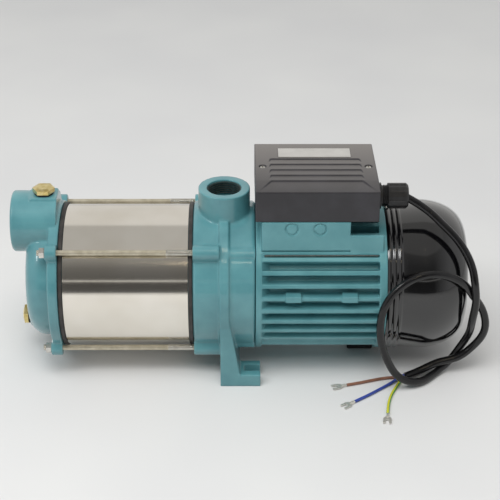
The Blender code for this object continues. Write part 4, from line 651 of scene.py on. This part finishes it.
# Two knock-outs are ringed in the base's front wall. One groove runs under the upper front rail and
# another over it.
knock_outs = []
for along in (65.5, 92.9):
    groove = revolve([(-53.6, 5.0), (-53.6, 6.8), (-51.4, 6.6), (-51.4, 5.2)], sides=48)
    bmesh.ops.rotate(groove, verts=groove.verts[:], matrix=Matrix.Rotation(math.pi / 2, 3, "Z"))
    bmesh.ops.translate(groove, verts=groove.verts[:], vec=(along, 0, 78.9))
    knock_outs.append(groove)
under_rail = slab((39, -78, -1.0), (151.4, -66, 1.0))
bmesh.ops.rotate(under_rail, verts=under_rail.verts[:], matrix=Matrix.Rotation(math.radians(-43.2), 3, "X"))
over_rail = slab((36, -55, 53.9), (123, -51, 55.6))
wire_hole = bar(7, 54, 72, (65.1, 0), "Z")
box_pocket = slab((41.4, -48, 71), (117.4, 48, 88))
stator_bore = bar(60, 30, 160, sides=96)

# The bore is cut last, because the cuts before it need whole walls.
motor = made(
    "motor_frame_casting", prism(section, 31.2, 158.8),
    [front_flange, rear_flange, box_base, rest_boss, *rails, *skirts, *pads],
    [under_rail, over_rail, *knock_outs, *(bar(bolt_hole, 30, 160, spot, sides=24) for spot in bolts),
     wire_hole, box_pocket, stator_bore],
    voxel=0.7, passes=2, share=0.19)
stand_for(motor, "motor_frame", enamel_on_aluminium)

# Stator, rotor core and bearings
# Stacked electrical sheet, varnished copper wire in its slots, and a cage core on the shaft.
# Two sealed ball bearings, one in the casing and one in the rear shield, carry the shaft.
# The edges of the sheets show as fine lines round a dull grey core.
lamination, shader = surface("electrical steel, stacked sheet", roughness=0.45, metallic=1.0)
mottled(lamination, shader, "62656A", "75787C", size=6)
grained(lamination, shader, size=0.8, depth=0.06, stretch=(1, 0.05, 0.05))
give(lamination, "stator_core", "rotor_core")
# Varnish deepens the copper and makes each turn of the winding glint.
copper, shader = surface("enamelled copper wire, wound", roughness=0.35, metallic=1.0, coat_weight=0.5)
mottled(copper, shader, "8A4A28", "B06A3C", size=3)
grained(copper, shader, size=1, depth=0.25, stretch=(1, 0.15, 0.15))
give(copper, "stator_windings")
# Ground bearing rings are a clean mid grey.
bearing_steel, shader = surface("bearing steel, ground", roughness=0.2, metallic=1.0)
mottled(bearing_steel, shader, "969696", "ABABAB", size=4)
grained(bearing_steel, shader, size=0.6, depth=0.005, rounding=0.3)
give(bearing_steel, "front_bearing", "rear_bearing")

# Fan cover and its screws
# Steel sheet, deep drawn with three beads at the rim and a round shoulder, then sprayed gloss black.
# Two pan-head screws hold it to the shield, and sixteen slots in its end let the fan breathe.

# The enamel is a black mirror for the cable and the floor, with a faint ripple from the drawn sheet.
black_enamel, shader = surface("black enamel on drawn steel", roughness=0.1, coat_weight=1.0,
                               coat_roughness=0.03)
mottled(black_enamel, shader, "08080A", "0D0D0F", size=30)
grained(black_enamel, shader, size=5, depth=0.01)
drawn_left = 159.4
drawn_face = 241.4
shoulder_start = 196
flat_end = 48
bead_count = 3
bead_band = 15.6
bead_foot = 74.9
bead_height = 1.1
bead_steps = 12
beads = []
for i in range(bead_count * bead_steps + 1):
    swell = (0.5 - 0.5 * math.cos(math.tau * i / bead_steps)) ** 0.7
    beads.append((drawn_left + bead_band * i / (bead_count * bead_steps), bead_foot + bead_height * swell))


def shoulder(length, fall, steps):
    """Quarter of an ellipse, from the cover's round wall to its flat end."""
    turns = [math.pi / 2 * i / steps for i in range(steps + 1)]
    return [(shoulder_start + length * math.sin(t), flat_end + fall * math.cos(t)) for t in turns]


slot_count = 16
air_slots = []
for i in range(slot_count):
    air_slot = slab((237, -2.2, 16), (242, 2.2, 44))
    turn = Matrix.Rotation(math.tau * i / slot_count, 3, "X")
    bmesh.ops.rotate(air_slot, verts=air_slot.verts[:], matrix=turn)
    air_slots.append(air_slot)
drawn_outside = [(drawn_left, 0), *beads, *shoulder(45.4, 28, 24), (drawn_face, 0)]
drawn_inside = [(159, 0), (159, 73.1), *shoulder(43.6, 26.2, 16), (239.6, 0)]
drawn = made("drawn_fan_cover", revolve(drawn_outside, sides=192),
             cut=[revolve(drawn_inside, sides=192), *air_slots, bar(2.1, -77, 77, (161.7, 0), "Z", 24)])
stand_for(drawn, "fan_cover", black_enamel)


def pan_screw(name, spot, side, head, height):
    """Zinc-plated pan-head screw with a crossed recess; side is 1 for a head that is up, -1 for down."""
    shank = 1.7
    length = 8.5
    profile = [(-length, 0), (-length, shank * 0.7), (shank - length, shank), (0, shank), (0, head),
               (height * 0.45, head), (height * 0.8, head * 0.8), (height, head * 0.4), (height, 0)]
    recess = [slab((height * 0.5, -wide, -narrow), (height * 1.7, wide, narrow))
              for wide, narrow in ((head * 0.55, head * 0.13), (head * 0.13, head * 0.55))]
    place = Matrix.Translation(at(*spot)) @ Matrix.Rotation(-side * math.pi / 2, 4, "Y")
    finish(made(name, revolve(profile, sides=24), cut=recess, place=place), bright_zinc)


for name, side in (("fan_cover_screw_top", 1), ("fan_cover_screw_bottom", -1)):
    pan_screw(name, (161.7, 0, side * 76.2), side, head=3.4, height=2)

# Cooling fan
# Polypropylene, moulded in one with its seven straight blades and pressed on the shaft's tail.
# It draws air through the cover's slots and is seen only as dark shapes behind them.
fan_polymer, shader = surface("polypropylene, moulded", roughness=0.45, ior=1.49)
mottled(fan_polymer, shader, "26292C", "33373A", size=8)
grained(fan_polymer, shader, size=0.6, depth=0.02, rounding=0.4)
give(fan_polymer, "cooling_fan")

# Motor rest
# A block of hard black rubber, pushed up under the frame's boss.
# It stands on the floor, so the motor's end can't shake.
give(seal_rubber, "motor_rest")

# Terminal box
# Moulded dark grey ABS. The lid's top steps down in louvres to the front, and its edges are a little
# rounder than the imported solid's, so the lid here is a softened copy of that solid.
# Two screws hold lid and tray to the cast base.

# A spark-eroded mould leaves a fine even grain, drawn coarser than it is so that it shows.
abs_grey, shader = surface("dark ABS, spark-eroded grain", roughness=0.42, ior=1.53)
mottled(abs_grey, shader, "29282C", "313035", size=20)
# Painted sheen: a pale grey on what faces up, faint at the front and stronger towards the rear, stands in
# for the light that the lid's top catches from above.
upward = add(abs_grey, "SeparateXYZ", {"Vector": add(abs_grey, "NewGeometry").outputs["Normal"]})
level_share = add(abs_grey, "MapRange", {"Value": upward.outputs["Z"], "From Min": 0.9, "From Max": 0.97})
depth = add(abs_grey, "SeparateXYZ", {"Vector": add(abs_grey, "TexCoord").outputs["Object"]})
fade = add(abs_grey, "MapRange", {"Value": depth.outputs["Y"], "From Min": -0.05, "From Max": 0.05,
                                  "To Min": 0.12, "To Max": 0.95})
sheen_share = add(abs_grey, "Math", {0: level_share.outputs["Result"], 1: fade.outputs["Result"]},
            operation="MULTIPLY")
# In a colour Mix node, input 0 is the share, 6 and 7 are the colours, and output 2 is the result.
# The pale grey mixed in here is painted sheen for the upward faces.
painted_sheen = add(abs_grey, "Mix", {0: sheen_share.outputs[0], 7: linear("76726F")}, data_type="RGBA")
abs_grey.node_tree.links.new(shader.inputs["Base Color"].links[0].from_socket, painted_sheen.inputs[6])
abs_grey.node_tree.links.new(painted_sheen.outputs[2], shader.inputs["Base Color"])
grained(abs_grey, shader, size=0.7, depth=0.05, rounding=0.7)
give(abs_grey, "terminal_box_base")
lid_blank = shown("lid_blank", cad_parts["terminal_box_lid"].data.copy())
mould(lid_blank, voxel=0.0006, passes=4, share=0.3)
lid_mesh = worked(lid_blank)
lid_mesh.shade_smooth()
lid = shown("moulded_lid", lid_mesh)
stand_for(lid, "terminal_box_lid", abs_grey)
for name, along in (("lid_screw_left", 37.8), ("lid_screw_right", 141.8)):
    pan_screw(name, (along, 0, 118.6), 1, head=3.3, height=2.4)

# Label plate
# Thin aluminium, glued into a shallow recess of the lid and left bare.
# Satin anodising makes it pale and even, with fine lines along it.
anodised, shader = surface("aluminium, satin anodised", roughness=0.38, metallic=1.0)
mottled(anodised, shader, "E4E2DF", "EDEBE8", size=15)
grained(anodised, shader, size=0.5, depth=0.01, stretch=(0.05, 1, 1))
give(anodised, "rating_plate")

# Terminal block and capacitor
# A cream moulded block with a bay for each wire, and the capacitor that helps the motor start, in a can
# of the same plastic, which has a soft sheen. Both are shut inside the box.
cream, shader = surface("polyamide, cream, moulded", roughness=0.45, ior=1.53)
mottled(cream, shader, "CFC9B6", "DBD6C5", size=8)
grained(cream, shader, size=0.5, depth=0.02, rounding=0.3)
give(cream, "terminal_block", "capacitor")

# Cable gland
# Black polyamide: a threaded body in the lid's wall, held by a locknut, and a fluted nut that squeezes a
# rubber seal round the cable. It is a little lighter and much duller than the fan cover beside it.
polyamide, shader = surface("black polyamide, moulded", roughness=0.4, ior=1.53)
mottled(polyamide, shader, "171718", "222223", size=6)
grained(polyamide, shader, size=0.6, depth=0.03, rounding=0.5)
give(polyamide, "gland_body", "gland_locknut", "gland_nut")
give(seal_rubber, "gland_seal")
threaded("gland_thread", root=9.9, crest=10.8, pitch=1.5, start=153.1, turns=4,
         place=Matrix.Translation(at(0, -27, 102.6)), steps=32, material=polyamide)

# Studio
# A matt white paper sheet runs under the pump. The steel and the black enamel mirror the room round it:
# dark low down, one bright band, then a slow rise to a pale ceiling, with grey sides and a pale back wall.
# A broad lamp gives the soft shadows; a side lamp and two small warm ones glint on the shell.
paper, shader = surface("matt white paper", roughness=0.9)
mottled(paper, shader, "D9DADB", "DEDFDF", size=250)
sheet = bmesh.new()
bmesh.ops.create_grid(sheet, x_segments=8, y_segments=8, size=4.0)
floor = from_mesh("floor", sheet)
floor.data.materials.append(paper)

world = bpy.data.worlds.new("studio")
bpy.context.scene.world = world
world.use_nodes = True
sight = add(world, "SeparateXYZ", {"Vector": add(world, "TexCoord").outputs["Generated"]})
elevation = add(world, "Math", {0: sight.outputs["Z"]}, operation="ARCSINE")
height = add(world, "Math", {0: elevation.outputs[0], 1: math.pi / 2}, operation="DIVIDE")
front = add(world, "ValToRGB", {"Fac": height.outputs[0]})
floor_line = front.color_ramp.elements[0]
floor_line.position = 0.0
floor_line.color = (0.08, 0.08, 0.08, 1)
ceiling = front.color_ramp.elements[1]
ceiling.position = 1.0
ceiling.color = (0.47, 0.465, 0.45, 1)
for position, value in ((0.178, 0.07), (0.188, 0.85), (0.199, 0.85), (0.210, 0.10), (0.42, 0.15),
                        (0.60, 0.26), (0.63, 0.45)):
    stop = front.color_ramp.elements.new(position)
    stop.color = (value, value * 0.985, value * 0.95, 1)
across = add(world, "Math", {0: sight.outputs["X"]}, operation="ABSOLUTE")
beside = add(world, "MapRange", {"Value": across.outputs[0], "From Min": 0.35, "From Max": 0.75})
sides = add(world, "Mix", {0: beside.outputs["Result"], 6: front.outputs["Color"], 7: (0.56, 0.56, 0.56, 1)},
            data_type="RGBA")
behind = add(world, "MapRange", {"Value": sight.outputs["Y"], "From Min": 0.40, "From Max": 0.44})
room = add(world, "Mix", {0: behind.outputs["Result"], 6: sides.outputs[2], 7: (0.7, 0.69, 0.67, 1)},
           data_type="RGBA")
glow = world.node_tree.nodes["Background"]
world.node_tree.links.new(room.outputs[2], glow.inputs["Color"])
glow.inputs["Strength"].default_value = 1.0

# Each lamp is a flat panel that faces the pump. The broad one isn't mirrored, so it leaves no patch on
# the shell.
white = (1.0, 1.0, 1.0)
warm = (1.0, 0.84, 0.58)
for name, place, wide, high, power, colour, mirrored in (
        ("broad_lamp", (-0.3, -0.95, 2.1), 1.6, 1.6, 36, white, False),
        ("warm_lamp_high", (0.14, -0.85, 1.85), 0.4, 0.12, 0.9, warm, True),
        ("warm_lamp_low", (0.13, -1.3, 1.5), 0.34, 0.1, 0.6, warm, True),
        ("side_lamp", (-1.15, -0.7, 1.5), 0.4, 0.4, 5.0, white, True)):
    panel = bpy.data.lights.new(name, "AREA")
    panel.shape = "RECTANGLE"
    panel.size = wide
    panel.size_y = high
    panel.energy = power
    panel.color = colour
    lamp = shown(name, panel)
    away = Vector(place) - Vector((0, 0, 0.1))
    lamp.matrix_world = Matrix.Translation(place) @ away.to_track_quat("Z", "Y").to_matrix().to_4x4()
    lamp.visible_glossy = mirrored

bpy.context.scene.view_settings.view_transform = "Standard"
